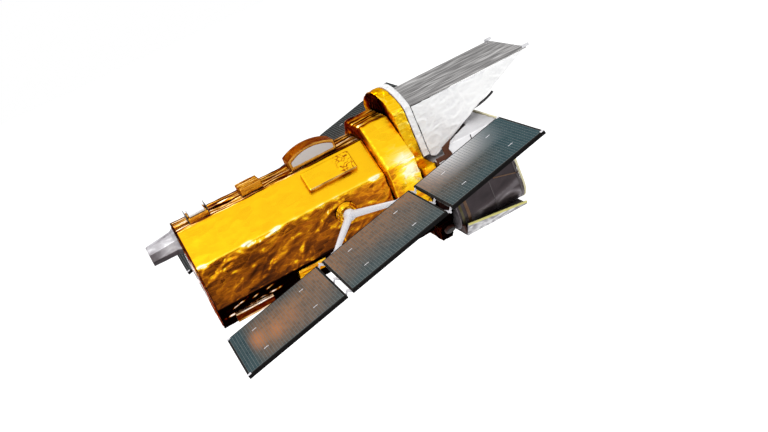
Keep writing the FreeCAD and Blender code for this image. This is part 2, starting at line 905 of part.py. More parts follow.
def make_hub():
    seat = bus_top + s.shaft_end_gap
    ball = doc.addObject("Part::Sphere", "hub_ball")
    bind(ball, "Radius", s.hub_radius)
    move(ball, 0, -s.hub_out, 0)
    shaft = drum("hub_shaft", s.shaft_radius, s.hub_out - seat, 0, -seat, 0, facing_right)
    pieces = [ball, shaft]
    angle = angle_of(s.arm_spread, s.wing_inner - s.hub_out)
    for name, lean in (("aft", -angle), ("forward", angle)):
        boss = drum(f"hub_boss_{name}", s.boss_radius, s.boss_reach, 0, 0, 0, facing_right)
        leaning = grouped(f"hub_boss_turn_{name}", [boss])
        turn_by(leaning, along_z, lean)
        move(leaning, 0, -s.hub_out, 0)
        pieces.append(leaning)
    on_wing(joined("hub_join", pieces), "hub")


def make_arms():
    """Tapered arms from the hub's bosses to the middle panel's inner edge."""
    reach = s.wing_inner - s.hub_out
    angle = angle_of(s.arm_spread, reach)
    run = hypotenuse(s.arm_spread, reach)
    foot_inner = s.wing_inner - s.foot_thick
    for name, lean, side in (("aft", -angle, -1), ("forward", angle, 1)):
        cone = doc.addObject("Part::Cone", f"arm_cone_{name}")
        bind(cone, "Radius1", s.arm_root)
        bind(cone, "Radius2", s.arm_tip)
        bind(cone, "Height", run - s.boss_reach + s.overrun)
        # local Z points outwards once the cone faces right
        move(cone, 0, -s.boss_reach, 0, facing_right)
        leaning = grouped(f"arm_turn_{name}", [cone])
        turn_by(leaning, along_z, lean)
        move(leaning, 0, -s.hub_out, 0)
        spare = s.foot_length * 2
        beyond = block(f"arm_trim_{name}", spare, spare, spare,
                       side * s.arm_spread - spare / 2, -foot_inner - spare, -spare / 2)
        trimmed = less(f"arm_trimmed_{name}", leaning, beyond)
        foot = block(f"arm_foot_{name}", s.foot_length, s.foot_thick, s.foot_height,
                     side * s.arm_spread - s.foot_length / 2, -s.wing_inner, -s.foot_height / 2)
        on_wing(joined(f"arm_join_{name}", [trimmed, foot]), f"arm_{name}")


def make_panel(label, start):
    """A stiff panel with bevelled edges and its raised sheet of cells."""
    low, high = -s.panel_thick / 2, s.panel_thick / 2
    end = start + s.panel_length
    edge = s.panel_edge
    profile = [
        (start + edge, low), (end - edge, low), (end, low + edge), (end, high - edge),
        (end - edge, high), (start + edge, high), (start, high - edge), (start, low + edge),
    ]
    body = outline_body(f"{label}_solid", "XZ_Plane", profile, s.wing_inner, s.panel_width)
    sheet_face = new_sketch(body, f"{label}_cells", "XY_Plane", high)
    margin = s.blanket_margin
    inner = -s.wing_inner - margin
    outer = -s.wing_inner - s.panel_width + margin
    draw_outline(sheet_face, [
        (start + margin, outer), (end - margin, outer), (end - margin, inner), (start + margin, inner),
    ])
    pad(body, f"{label}_blanket", sheet_face, s.blanket_thick)
    on_wing(body, label)


def hinge_stations():
    """Distances of the three hinges from the panel's inner edge."""
    return [s.hinge_inset, s.hinge_mid, s.panel_width - s.hinge_inset]


def hinge_leaf(name, line, height, edge, out, width):
    """One web and knuckle about a hinge line, from a panel's edge face."""
    toward = 1 if edge.value > line.value else -1
    web = s.hinge_web
    face = 1 if height.value > 0 else -1
    profile = [
        (edge, -s.hinge_foot * face), (edge, s.hinge_foot * face), (line, height + face * web / 2),
        (line - toward * web / 2, height), (line, height - face * web),
    ]
    strip = outline_body(f"{name}_web", "XZ_Plane", profile, out, width)
    knuckle = drum(f"{name}_knuckle", s.knuckle_radius, width, line, -out, height, facing_right)
    return joined(f"{name}_leaf", [strip, knuckle])


def make_hinges():
    """Three hinges in each gap: outer knuckles and pin on the middle panel's side,
    one middle knuckle on the outer panel's side."""
    width, gap = s.knuckle_width, s.knuckle_gap
    fixed = []
    axis_height = cell_side + s.hinge_clearance
    back_height = -s.panel_thick / 2 - s.hinge_clearance
    for gap_name, line, height, near, far in (
            ("aft", -hinge_line, axis_height, -half_panel, -next_panel),
            ("forward", hinge_line, back_height, half_panel, next_panel)):
        moving = []
        for number, station in enumerate(hinge_stations(), start=1):
            name = f"{gap_name}_hinge_{number}"
            middle = s.wing_inner + station - width / 2
            first = middle - gap - width
            last = middle + width + gap
            pin_length = width * 3 + gap * 2
            bore = drum(f"{name}_bore", s.pin_radius + s.pin_gap, width + s.overrun * 2,
                        line, s.overrun - middle, height, facing_right)
            carried = hinge_leaf(f"{name}_carried", line, height, far, middle, width)
            moving.append(less(f"{name}_bored", carried, bore))
            pin = drum(f"{name}_pin", s.pin_radius, pin_length, line, -first, height, facing_right)
            lugs = [hinge_leaf(f"{name}_lug_{spot}", line, height, near, out, width)
                    for spot, out in (("inner", first), ("outer", last))]
            fixed.append(joined(f"{name}_fixed", lugs + [pin]))
        on_wing(grouped(f"{gap_name}_leaves", moving), f"hinge_leaves_{gap_name}")
    on_wing(grouped("fixed_lugs", fixed), "hinge_lugs")


def make_wings():
    make_hub()
    make_arms()
    make_panel("panel_mid", -half_panel)
    make_panel("panel_aft", -next_panel - s.panel_length)
    make_panel("panel_forward", next_panel)
    make_hinges()
    for item, label in wing_nodes:
        mirrored(item, f"left_{label}")


def check_and_write():
    """Stops on any failed object or bad shape, then writes each sub-part."""
    doc.recompute()
    for item in doc.Objects:
        if "Invalid" in item.State or "Error" in item.State:
            raise RuntimeError(f"{item.Name} failed: {item.State}")
    os.makedirs("parts", exist_ok=True)
    for item in nodes:
        shape = item.Shape
        if shape.isNull() or not shape.isValid():
            raise RuntimeError(f"{item.Label} has a bad shape")
        if not shape.Solids:
            raise RuntimeError(f"{item.Label} holds no solid")
        shape.exportStep(f"parts/{item.Label}.step")
        print(item.Label, len(shape.Solids), round(shape.Volume / 1e6, 3), "litres")
    print(len(nodes), "sub-parts written")


make_bus()
make_ring()
make_horn()
make_top_boxes()
make_arch()
make_side_pads()
make_low_pads()
make_collar()
make_deck()
make_shade()
make_hood()
make_tray()
make_struts()
make_rod()
make_telescopes()
make_boots()
make_wings()
check_and_write()
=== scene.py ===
import bmesh
import bpy
import math
from mathutils import Matrix, Vector, noise


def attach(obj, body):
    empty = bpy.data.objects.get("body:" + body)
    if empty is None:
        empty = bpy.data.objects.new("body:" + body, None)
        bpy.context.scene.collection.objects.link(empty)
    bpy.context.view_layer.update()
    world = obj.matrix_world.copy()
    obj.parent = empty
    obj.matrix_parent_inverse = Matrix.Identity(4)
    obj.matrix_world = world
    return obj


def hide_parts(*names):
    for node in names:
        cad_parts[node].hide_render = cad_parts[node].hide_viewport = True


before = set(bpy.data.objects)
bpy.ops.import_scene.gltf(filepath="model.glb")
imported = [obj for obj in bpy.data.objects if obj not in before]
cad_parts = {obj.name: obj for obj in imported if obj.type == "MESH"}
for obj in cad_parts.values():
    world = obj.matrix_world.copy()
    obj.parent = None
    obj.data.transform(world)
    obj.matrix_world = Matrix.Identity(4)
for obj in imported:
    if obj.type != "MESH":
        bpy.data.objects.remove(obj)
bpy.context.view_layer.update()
print("satellite: frame loaded")

viewPlace = {
    "spot": (-0.265, -13.175, 4.327),
    "right": (0.8663, -0.3244, -0.3797),
    "up": (0.4585, 0.2154, 0.8623),
    "back": (-0.1979, -0.9211, 0.3353),
    "lens": 50.0,
    "sensor": 36.0,
    "reach": 200.0,
}


def addObject(name, data):
    made = bpy.data.objects.new(name, data)
    bpy.context.scene.collection.objects.link(made)
    return made


def makeCamera(place):
    data = bpy.data.cameras.new("photoCamera")
    data.lens = place["lens"]
    data.sensor_width = place["sensor"]
    data.clip_end = place["reach"]
    camera = addObject("photoCamera", data)
    turn = Matrix((place["right"], place["up"], place["back"])).transposed().to_4x4()
    camera.matrix_world = Matrix.Translation(place["spot"]) @ turn
    bpy.context.scene.camera = camera


makeCamera(viewPlace)


def feed(tree, inputs, values):
    # another node's socket is linked, and anything else becomes the input's own value
    for socket, value in values.items():
        if isinstance(value, bpy.types.NodeSocket):
            tree.links.new(value, inputs[socket])
        else:
            inputs[socket].default_value = value


def addNode(tree, kind, values=None, **settings):
    node = tree.nodes.new(kind)
    for name, value in settings.items():
        setattr(node, name, value)
    feed(tree, node.inputs, values or {})
    return node


def maths(tree, operation, one, two=0.0, clamp=False):
    node = addNode(tree, "ShaderNodeMath", {0: one, 1: two}, operation=operation, use_clamp=clamp)
    return node.outputs[0]


def chain(tree, operation, parts, clamp):
    value = parts[0]
    for part in parts[1:-1]:
        value = maths(tree, operation, value, part)
    return maths(tree, operation, value, parts[-1], clamp)


def product(tree, *parts, clamp=False):
    return chain(tree, "MULTIPLY", parts, clamp)


def total(tree, *parts, clamp=False):
    return chain(tree, "ADD", parts, clamp)


def spread(tree, value, low, high, start=0.0, end=1.0, **settings):
    values = {"Value": value, "From Min": low, "From Max": high, "To Min": start, "To Max": end}
    return addNode(tree, "ShaderNodeMapRange", values, **settings).outputs["Result"]


def clouds(tree, place, scale, detail=2.0, roughness=0.5):
    values = {"Vector": place, "Scale": scale, "Detail": detail, "Roughness": roughness}
    return addNode(tree, "ShaderNodeTexNoise", values).outputs


def scraps(tree, place, scale, feature="F1"):
    return addNode(tree, "ShaderNodeTexVoronoi", {"Vector": place, "Scale": scale}, feature=feature).outputs


def blendColours(tree, factor, one, two):
    one, two = (part if isinstance(part, bpy.types.NodeSocket) else (*part, 1.0) for part in (one, two))
    # inputs 6 and 7 and output 2 are the colour ones of the mix node
    return addNode(tree, "ShaderNodeMix", {0: factor, 6: one, 7: two}, data_type="RGBA").outputs[2]


def colourSteps(tree, value, steps):
    node = addNode(tree, "ShaderNodeValToRGB", {"Fac": value})
    ramp = node.color_ramp
    while len(ramp.elements) < len(steps):
        ramp.elements.new(0.5)
    for element, (place, colour) in zip(ramp.elements, steps):
        element.position = place
        element.color = (*colour, 1.0)
    return node.outputs["Color"]


def ownPlace(tree, scale=(1, 1, 1), turn=(0, 0, 0), shift=(0, 0, 0)):
    place = addNode(tree, "ShaderNodeTexCoord").outputs["Object"]
    values = {"Vector": place, "Scale": scale, "Rotation": turn, "Location": shift}
    return addNode(tree, "ShaderNodeMapping", values).outputs["Vector"]


def ownValue(tree, name):
    return addNode(tree, "ShaderNodeAttribute", attribute_name=name).outputs["Fac"]


def newGroup(name, inputs, outputs):
    # an input without a number is a vector, and every output is a number
    tree = bpy.data.node_groups.new(name, "ShaderNodeTree")
    for label, value in inputs.items():
        kind = "NodeSocketVector" if value is None else "NodeSocketFloat"
        socket = tree.interface.new_socket(label, in_out="INPUT", socket_type=kind)
        if value is not None:
            socket.default_value = value
    for label in outputs:
        tree.interface.new_socket(label, in_out="OUTPUT", socket_type="NodeSocketFloat")
    entry = tree.nodes.new("NodeGroupInput")
    leave = tree.nodes.new("NodeGroupOutput")
    return tree, entry.outputs, leave.inputs


def useGroup(tree, group, values):
    return addNode(tree, "ShaderNodeGroup", values, node_tree=group).outputs


foldPattern = {"wobble": 3.0, "smallSize": 2.7, "smallShare": 0.45, "grainSize": 9.0, "creaseWidth": 0.09}
wearPattern = {"markSize": 7.0, "grainSize": 45.0, "dust": (0.35, 0.75), "scuff": (0.55, 0.72)}


def makeFoldGroup():
    # crumpled sheet: flat facets between sharp creases, with fine crackle on top
    tree, given, out = newGroup(
        "crumpledSheet", {"Vector": None, "Size": 12.0, "Warp": 0.35, "Crackle": 0.25},
        ("Height", "Facet", "Crease"))
    size, look = given["Size"], foldPattern
    wobble = clouds(tree, given["Vector"], look["wobble"], detail=3.0)["Color"]
    centred = addNode(tree, "ShaderNodeVectorMath", {0: wobble, 1: (0.5, 0.5, 0.5)}, operation="SUBTRACT")
    pushed = addNode(tree, "ShaderNodeVectorMath", {0: centred.outputs[0], "Scale": given["Warp"]},
                     operation="SCALE")
    place = addNode(tree, "ShaderNodeVectorMath", {0: given["Vector"], 1: pushed.outputs[0]},
                    operation="ADD").outputs[0]
    large = scraps(tree, place, size)
    small = scraps(tree, place, product(tree, size, look["smallSize"]))["Distance"]
    edge = scraps(tree, place, size, "DISTANCE_TO_EDGE")["Distance"]
    grain = clouds(tree, place, product(tree, size, look["grainSize"]), detail=4.0)["Fac"]
    feed(tree, out, {
        "Facet": addNode(tree, "ShaderNodeSeparateColor", {0: large["Color"]}).outputs[0],
        "Crease": spread(tree, edge, 0.0, look["creaseWidth"], 1.0, 0.0),
        "Height": total(tree, large["Distance"], product(tree, small, look["smallShare"]),
                        product(tree, grain, given["Crackle"])),
    })
    return tree


def makeWearGroup():
    # handling marks and faint dust that break up a plain finish
    tree, given, out = newGroup(
        "handlingWear", {"Vector": None, "Scale": 6.0, "Amount": 0.3}, ("Dust", "Scuff", "Grain"))
    place, scale, amount = given["Vector"], given["Scale"], given["Amount"]
    cloud = clouds(tree, place, scale, detail=6.0, roughness=0.6)["Fac"]
    marks = product(tree, scale, wearPattern["markSize"])
    marks = clouds(tree, place, marks, detail=3.0, roughness=0.75)["Fac"]
    feed(tree, out, {
        "Dust": product(tree, spread(tree, cloud, *wearPattern["dust"]), amount),
        "Scuff": product(tree, spread(tree, marks, *wearPattern["scuff"]), amount),
        "Grain": clouds(tree, place, product(tree, scale, wearPattern["grainSize"]))["Fac"],
    })
    return tree


foldGroup = makeFoldGroup()
wearGroup = makeWearGroup()


def wearOf(tree, scale, amount, place=None):
    return useGroup(tree, wearGroup, {"Vector": place or ownPlace(tree), "Scale": scale, "Amount": amount})


def newMaterial(name, **constants):
    material = bpy.data.materials.new(name)
    material.use_nodes = True
    tree = material.node_tree
    shader = tree.nodes["Principled BSDF"]
    for socket, value in constants.items():
        shader.inputs[socket.replace("_", " ")].default_value = value
    return material, tree, shader


def giveBump(tree, shader, height, strength, distance):
    bump = addNode(tree, "ShaderNodeBump", {"Height": height, "Strength": strength, "Distance": distance})
    tree.links.new(bump.outputs["Normal"], shader.inputs["Normal"])


goldSteps = [
    (0.00, (0.005, 0.002, 0.002)), (0.12, (0.020, 0.007, 0.004)), (0.24, (0.115, 0.028, 0.004)),
    (0.36, (0.320, 0.086, 0.005)), (0.50, (0.640, 0.225, 0.007)), (0.64, (0.930, 0.490, 0.008)),
    (0.76, (0.985, 0.600, 0.010)), (0.88, (1.000, 0.740, 0.110)), (1.00, (1.000, 0.950, 0.620)),
]
paleSteps = [
    (0.00, (0.008, 0.003, 0.003)), (0.20, (0.045, 0.022, 0.012)), (0.40, (0.200, 0.120, 0.040)),
    (0.60, (0.460, 0.310, 0.110)), (0.80, (0.860, 0.600, 0.420)), (1.00, (1.000, 0.920, 0.860)),
]
silverSteps = [
    (0.00, (0.014, 0.011, 0.012)), (0.22, (0.055, 0.043, 0.046)), (0.40, (0.160, 0.142, 0.150)),
    (0.55, (0.400, 0.380, 0.400)), (0.75, (0.700, 0.690, 0.710)), (1.00, (0.920, 0.915, 0.920)),
]
whiteSteps = [
    (0.00, (0.300, 0.285, 0.310)), (0.30, (0.560, 0.550, 0.570)), (0.55, (0.800, 0.795, 0.810)),
    (0.80, (0.880, 0.880, 0.885)), (1.00, (0.930, 0.930, 0.930)),
]
streakSteps = [
    (0.00, (0.110, 0.105, 0.105)), (0.35, (0.230, 0.222, 0.220)), (0.60, (0.360, 0.350, 0.345)),
    (0.85, (0.520, 0.510, 0.505)), (1.00, (0.680, 0.670, 0.665)),
]
foilLooks = {
    "goldFoil": {"slot": "gold_foil", "steps": goldSteps, "size": 13.0, "turn": (0.0, 0.6, 0.0),
                 "stretch": (0.45, 1.0, 1.3), "contrast": 0.13, "crease": 0.08, "fold": 0.10,
                 "bump": 0.40, "rough": 0.22, "metal": 1.0, "edge": (0.36, 0.16, 0.05)},
    "silverFoil": {"slot": "silver_foil", "steps": silverSteps, "size": 8.0, "turn": (0.0, 0.5, 0.0),
                   "stretch": (0.5, 1.1, 1.4), "contrast": 0.030, "crease": 0.015, "fold": 0.20,
                   "bump": 0.30, "rough": 0.30, "metal": 0.60, "edge": (0.5, 0.48, 0.52)},
    "whiteFoil": {"slot": "white_blanket", "steps": whiteSteps, "size": 6.0, "turn": (0.0, 0.4, 0.0),
                  "stretch": (0.6, 1.0, 1.2), "contrast": 0.10, "crease": 0.06, "fold": 0.85,
                  "bump": 0.46, "rough": 0.40, "metal": 0.25, "edge": (1.0, 1.0, 1.0)},
    "streakFoil": {"slot": "shade_cloth", "steps": streakSteps, "size": 9.0, "turn": (0.0, 0.0, 0.0),
                   "stretch": (0.06, 1.6, 1.0), "contrast": 0.55, "crease": 0.10, "fold": 0.20,
                   "bump": 0.35, "rough": 0.34, "metal": 0.85, "edge": (0.8, 0.8, 0.8)},
}
foilBase = {"warp": 0.12, "crackle": 0.2, "fullShare": 2.5, "leastShare": 0.15, "dustSize": 5.0,
            "dust": 0.12, "facetRough": 0.10, "leastCrackle": 0.08, "bumpDepth": 0.012}
foilLabels = ("tone", "ruffle", "fold", "pale")


def makeFoil(name, look):
    # the piece's tone sets the colour, with the painted shade and painted highlights of its feel and
    # crumple in it; its folds and the crumple pattern vary it
    material, tree, shader = newMaterial(name, Metallic=look["metal"], IOR=1.5,
                                         Specular_Tint=(*look["edge"], 1.0))
    place = ownPlace(tree, scale=look["stretch"], turn=look["turn"])
    folds = useGroup(tree, foldGroup, {"Vector": place, "Size": look["size"], "Warp": foilBase["warp"],
                                       "Crackle": foilBase["crackle"]})
    tone, ruffle, fold, pale = (ownValue(tree, label) for label in foilLabels)
    facets = product(tree, maths(tree, "SUBTRACT", folds["Facet"], 0.5), look["contrast"])
    creases = product(tree, folds["Crease"], look["crease"])
    shaped = product(tree, maths(tree, "SUBTRACT", fold, 0.5), look["fold"])
    # the pattern fades where the foil is dark
    share = maths(tree, "MAXIMUM", product(tree, tone, foilBase["fullShare"]), foilBase["leastShare"])
    share = maths(tree, "MINIMUM", share, 1.0)
    pattern = product(tree, total(tree, facets, creases, shaped), ruffle, share)
    level = total(tree, tone, pattern, clamp=True)
    wear = wearOf(tree, foilBase["dustSize"], foilBase["dust"])
    feed(tree, shader.inputs, {
        "Base Color": blendColours(tree, pale, colourSteps(tree, level, look["steps"]),
                                   colourSteps(tree, level, paleSteps)),
        "Roughness": total(tree, look["rough"], wear["Dust"],
                           product(tree, folds["Facet"], foilBase["facetRough"])),
    })
    height = product(tree, folds["Height"], total(tree, ruffle, foilBase["leastCrackle"]))
    giveBump(tree, shader, height, look["bump"], foilBase["bumpDepth"])
    return material


plainLooks = {
    "blackPaint": {"colour": (0.018, 0.017, 0.018), "rough": 0.62, "wear": 0.25},
    "darkPlate": {"colour": (0.035, 0.033, 0.035), "metal": 0.2, "rough": 0.42, "wear": 0.30},
    "greyPanel": {"colour": (0.63, 0.61, 0.61), "rough": 0.45, "wear": 0.16},
    "machinedMetal": {"colour": (0.62, 0.62, 0.64), "metal": 1.0, "rough": 0.28, "wear": 0.35},
    "creamTrim": {"colour": (0.86, 0.80, 0.52), "rough": 0.38, "wear": 0.15},
    "brownStrut": {"colour": (0.085, 0.026, 0.010), "rough": 0.55, "wear": 0.12, "shine": 0.15},
    "whitePaint": {"colour": (0.80, 0.79, 0.83), "rough": 0.36, "wear": 0.18},
    "amberTape": {"colour": (0.62, 0.22, 0.012), "metal": 0.6, "rough": 0.30, "wear": 0.30},
    "mirrorGlass": {"colour": (0.80, 0.82, 0.86), "metal": 1.0, "rough": 0.04, "wear": 0.02},
    "oliveBand": {"colour": (0.060, 0.048, 0.012), "metal": 0.6, "rough": 0.38, "wear": 0.35},
    "brownBand": {"colour": (0.090, 0.040, 0.014), "metal": 0.6, "rough": 0.38, "wear": 0.35},
    "seamTape": {"colour": (0.070, 0.060, 0.062), "metal": 0.9, "rough": 0.34, "wear": 0.15},
    "yellowTrim": {"colour": (0.840, 0.780, 0.260), "rough": 0.42, "wear": 0.35},
    "umberPlate": {"colour": (0.045, 0.010, 0.005), "rough": 0.50, "wear": 0.10, "shine": 0.15},
    "darkCap": {"colour": (0.010, 0.006, 0.006), "rough": 0.45, "wear": 0.08, "shine": 0.15},
    "goldTape": {"colour": (0.50, 0.19, 0.012), "metal": 1.0, "rough": 0.24, "wear": 0.20},
}
plainBase = {"wearSize": 7.0, "dustRough": 0.3, "grain": 0.12, "grainDepth": 0.002, "dustShare": 0.28,
             "dustGrey": 0.5, "wornGain": 1.25, "wornLift": 0.02}


def makePlain(name, look):
    material, tree, shader = newMaterial(name, Metallic=look.get("metal", 0.0),
                                         Specular_IOR_Level=look.get("shine", 0.4))
    base, share = plainBase, plainBase["dustShare"]
    wear = wearOf(tree, base["wearSize"], look["wear"])
    dusty = tuple((1 - share) * part + share * base["dustGrey"] for part in look["colour"])
    worn = tuple(min(1.0, part * base["wornGain"] + base["wornLift"]) for part in look["colour"])
    colour = blendColours(tree, wear["Dust"], look["colour"], dusty)
    rough = total(tree, product(tree, wear["Dust"], base["dustRough"]), look["rough"])
    feed(tree, shader.inputs, {"Base Color": blendColours(tree, wear["Scuff"], colour, worn),
                               "Roughness": rough})
    giveBump(tree, shader, wear["Grain"], base["grain"], base["grainDepth"])
    return material


finishes = {name: makeFoil(name, look) for name, look in foilLooks.items()}
finishes.update({name: makePlain(name, look) for name, look in plainLooks.items()})
print("satellite: finishes made")


mergeGap = 1e-5  # points nearer than this count as one
bothHands = ("right", "left")
# noise_vector follows this seed, so every run gives the same folds
noise.seed_set(5)


def addPiece(name, mesh, body, finish, smooth=False):
    piece = addObject(name, mesh)
    mesh.materials.clear()
    mesh.materials.append(finishes[finish])
    if smooth:
        mesh.shade_smooth()
    else:
        mesh.shade_flat()
    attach(piece, body)
    return piece


def fromBmesh(name, work):
    bmesh.ops.recalc_face_normals(work, faces=work.faces)
    mesh = bpy.data.meshes.new(name)
    work.to_mesh(mesh)
    work.free()
    return mesh


def shipPiece(name, work, finish, smooth=False):
    return addPiece(name, fromBmesh(name, work), "spacecraft", finish, smooth)


def evenCopy(nodeName, voxel):
    # a copy of a CAD node with an even grid of faces, ready to be crumpled
    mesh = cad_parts[nodeName].data.copy()
    work = bmesh.new()
    work.from_mesh(mesh)
    bmesh.ops.remove_doubles(work, verts=work.verts, dist=mergeGap)
    work.to_mesh(mesh)
    work.free()
    mesh.materials.clear()
    holder = addObject("evenCopy", mesh)
    remesh = holder.modifiers.new("even", "REMESH")
    remesh.mode = "VOXEL"
    remesh.voxel_size = voxel
    bpy.context.view_layer.update()
    ready = bpy.data.meshes.new_from_object(holder.evaluated_get(bpy.context.evaluated_depsgraph_get()))
    bpy.data.objects.remove(holder)
    return ready


def ridge(place):
    return 1.0 - min(1.0, 2.3 * abs(noise.noise(place)))


def bell(away, reach):
    return math.exp(-(away / reach) ** 2)


# proud is the height that stays where the CAD surface is, and often says how close a pattern's folds are
foldShape = {"warp": 0.45, "proud": 0.80, "broad": 0.34, "broadOften": 0.45, "crest": 0.34,
             "crestOften": 0.8, "crestPower": 1.5, "fine": 0.14, "scrap": 0.26, "fineOften": 1.9}


def foldHeight(place):
    # 1 on a crest of the crumple, 0 in its deepest crease
    shape = foldShape
    place = place + noise.noise_vector(place * 0.5) * shape["warp"]
    broad = 0.5 + 0.6 * noise.noise(place * shape["broadOften"] + Vector((3.1, 8.7, 1.9)))
    crest = ridge(place * shape["crestOften"]) ** shape["crestPower"]
    fine = ridge(place * shape["fineOften"])
    scrap = noise.voronoi(place * shape["fineOften"] + Vector((7.1, 3.3, 5.7)))[0][0]
    value = (shape["broad"] * broad + shape["crest"] * crest + shape["fine"] * fine
             + shape["scrap"] * scrap)
    return max(0.0, min(1.0, value))


glints = [
    {"way": (0.10, 0.0, 0.32), "width": 0.110, "gain": 0.78},
    {"way": (-0.28, 0.0, 0.14), "width": 0.080, "gain": 0.58},
    {"way": (0.22, 0.0, -0.16), "width": 0.12, "gain": -0.04},
]
skyGlint = {"way": Vector((0.10, 0.0, 0.99)), "gain": 0.32}
glintPatches = {"least": 0.75, "swing": 1.5, "often": 2.4, "place": Vector((5.0, 2.0, 8.0))}


def glintOf(normal, start):
    # what a tilted scrap of foil picks up from the room: brighter above, and sharp at a few tilts
    tilt = normal - start
    light = skyGlint["gain"] * tilt.dot(skyGlint["way"])
    for glint in glints:
        light += glint["gain"] * bell((tilt - Vector(glint["way"])).length, glint["width"])
    return light


def insideBox(mesh):
    spots = [vertex.co for vertex in mesh.vertices]
    low = [min(spot[axis] for spot in spots) for axis in range(3)]
    high = [max(spot[axis] for spot in spots) for axis in range(3)]
    return lambda point: Vector([min(max(point[axis], low[axis]), high[axis]) for axis in range(3)])


def crumple(mesh, piece, keepInside):
    # moves each point along its normal by the folds, and keeps what the foil finishes read
    turn = Matrix.Rotation(math.radians(piece["turn"]), 3, piece["about"])
    turned = Matrix.Diagonal(piece["stretch"]) @ turn
    starts = [(vertex.co.copy(), vertex.normal.copy()) for vertex in mesh.vertices]
    values = {label: [] for label in foilLabels}
    for vertex, (point, normal) in zip(mesh.vertices, starts):
        tone, ruffle, *pale = piece["feel"](point, normal)
        height = foldHeight(turned @ point / piece["size"])
        vertex.co = keepInside(point + normal * piece["depth"] * ruffle * (height - foldShape["proud"]))
        for label, value in zip(foilLabels, (tone, ruffle, height, sum(pale))):
            values[label].append(value)
    mesh.update()
    # painted reflection: the tone goes up or down with what each crumpled normal picks up from the room,
    # and the brightening comes in patches
    for index, (vertex, (point, normal)) in enumerate(zip(mesh.vertices, starts)):
        change = glintOf(vertex.normal, normal) - glintOf(normal, normal)
        if change > 0.0:
            patch = noise.noise(point * glintPatches["often"] + glintPatches["place"])
            change *= glintPatches["least"] + glintPatches["swing"] * patch
        values["tone"][index] += change * min(1.0, values["ruffle"][index] * 1.5)
    for label in foilLabels:
        mesh.attributes.new(label, "FLOAT", "POINT").data.foreach_set("value", values[label])


def steps(value, places):
    # straight runs between (value, result) pairs
    if value <= places[0][0]:
        return places[0][1]
    for (low, start), (high, end) in zip(places, places[1:]):
        if value <= high:
            return start + (end - start) * (value - low) / (high - low)
    return places[-1][1]


def facing(normal):
    # degrees above the horizon that a face looks to, seen along the bus
    return math.degrees(math.atan2(normal.z, abs(normal.y) + 1e-9))


def lengthRipple(point, across, size, often=2.2):
    value = noise.noise(Vector((point.x * often, across / size, point.x * 0.15)))
    return max(0.0, min(1.0, 0.5 + value * 0.9))


# a feel gives a point's tone, which holds painted shade and painted highlights besides the foil's colour,
# and its ruffle, and for some pieces how pale the foil is there
busEdge = {"y": 0.709, "z": 0.294, "reach": 0.034, "lift": 0.55, "hem": 0.030, "hemTone": 0.10}
# painted highlight streaks on the dark lower flats
busHighlightStreaks = [
    {"from": (0.24, 0.159), "to": (0.40, 0.076), "reach": 0.020, "lift": 1.50},
    {"from": (0.10, 0.330), "to": (0.84, 0.250), "reach": 0.022, "lift": 1.60},
    {"from": (0.50, 0.145), "to": (0.54, 0.130), "reach": 0.016, "lift": 1.30},
    {"from": (0.71, 0.100), "to": (0.75, 0.085), "reach": 0.016, "lift": 1.30},
]
streakEnd = 0.03  # the fade past both ends of a streak


def streakHighlight(along, down):
    light = 0.0
    for streak in busHighlightStreaks:
        (startX, startD), (endX, endD) = streak["from"], streak["to"]
        part = (along - startX) / (endX - startX)
        off = down - startD - (endD - startD) * part
        ends = max(0.0, -part, part - 1.0) * (endX - startX) / streakEnd
        broken = 0.55 + 0.9 * noise.noise(Vector((along * 14.0, down * 20.0, 2.0)))
        light += streak["lift"] * broken * bell(math.hypot(off / streak["reach"], ends), 1.0)
    return light


def busFeel(point, normal):
    if normal.x < -0.7:
        # aft end, darker towards its eight-sided rim
        rim = max(abs(point.y), abs(point.z), 0.7071 * (abs(point.y) + abs(point.z)))
        return steps(rim, [(0.46, 0.42), (0.66, 0.20)]), 0.8
    # painted shade and light: the tone follows which way each face looks, dark on the lower flats and
    # bright on the upper slanted flats
    look = facing(normal)
    tone = steps(look, [(-80, 0.02), (-44, 0.02), (-30, 0.06), (-12, 0.27), (12, 0.31), (30, 0.58),
                        (42, 0.70), (58, 0.62), (70, 0.51), (88, 0.49)])
    ruffle = steps(look, [(-80, 0.30), (-44, 0.35), (-12, 1.0), (12, 1.0), (34, 0.9), (42, 0.08),
                          (50, 0.08), (60, 0.4), (88, 0.40)])
    pale = steps(look, [(-44, 0.0), (60, 0.0), (74, 0.70)])
    # painted shade darker towards the bottom of the side flats, and painted light brighter towards their
    # front
    if abs(look) < 20:
        tone += 0.24 * point.z + 0.10 * noise.noise(Vector((point.x * 2.1, 0.0, point.z * 3.0)))
        tone += steps(point.x, [(1.8, 0.0), (2.3, 0.09)])
    # broken glare along the upper edge of the side flat
    edgeShift = 0.020 * noise.noise(Vector((point.x * 9.0, 1.0, 0.0)))
    away = math.hypot(abs(point.y) - busEdge["y"], point.z - busEdge["z"] - edgeShift)
    patch = 0.34 + 2.8 * max(0.0, noise.noise(Vector((point.x * 5.0, 0.0, 3.0))))
    tone += busEdge["lift"] * patch * bell(away, busEdge["reach"])
    if look > 70:  # top flat, rippled lengthwise
        tone += 1.15 * (lengthRipple(point, point.y, 0.040) - 0.50)
    # painted shade on the lower flats, with a few painted highlight streaks that also pale the foil
    if look < -30:  # dark lower flats with a few light streaks
        light = streakHighlight(point.x, math.hypot(abs(point.y) - busEdge["y"], point.z + busEdge["z"]))
        tone += light
        pale = min(1.0, light * 2.0)
    if point.x < busEdge["hem"]:
        tone = min(tone, busEdge["hemTone"])
    return tone, ruffle, pale


# painted highlight: a bright patch on the collar's side near the deck
collarPaintedHighlight = {"spot": (2.92, -0.80, 0.23), "reach": 0.21, "lift": 0.55}


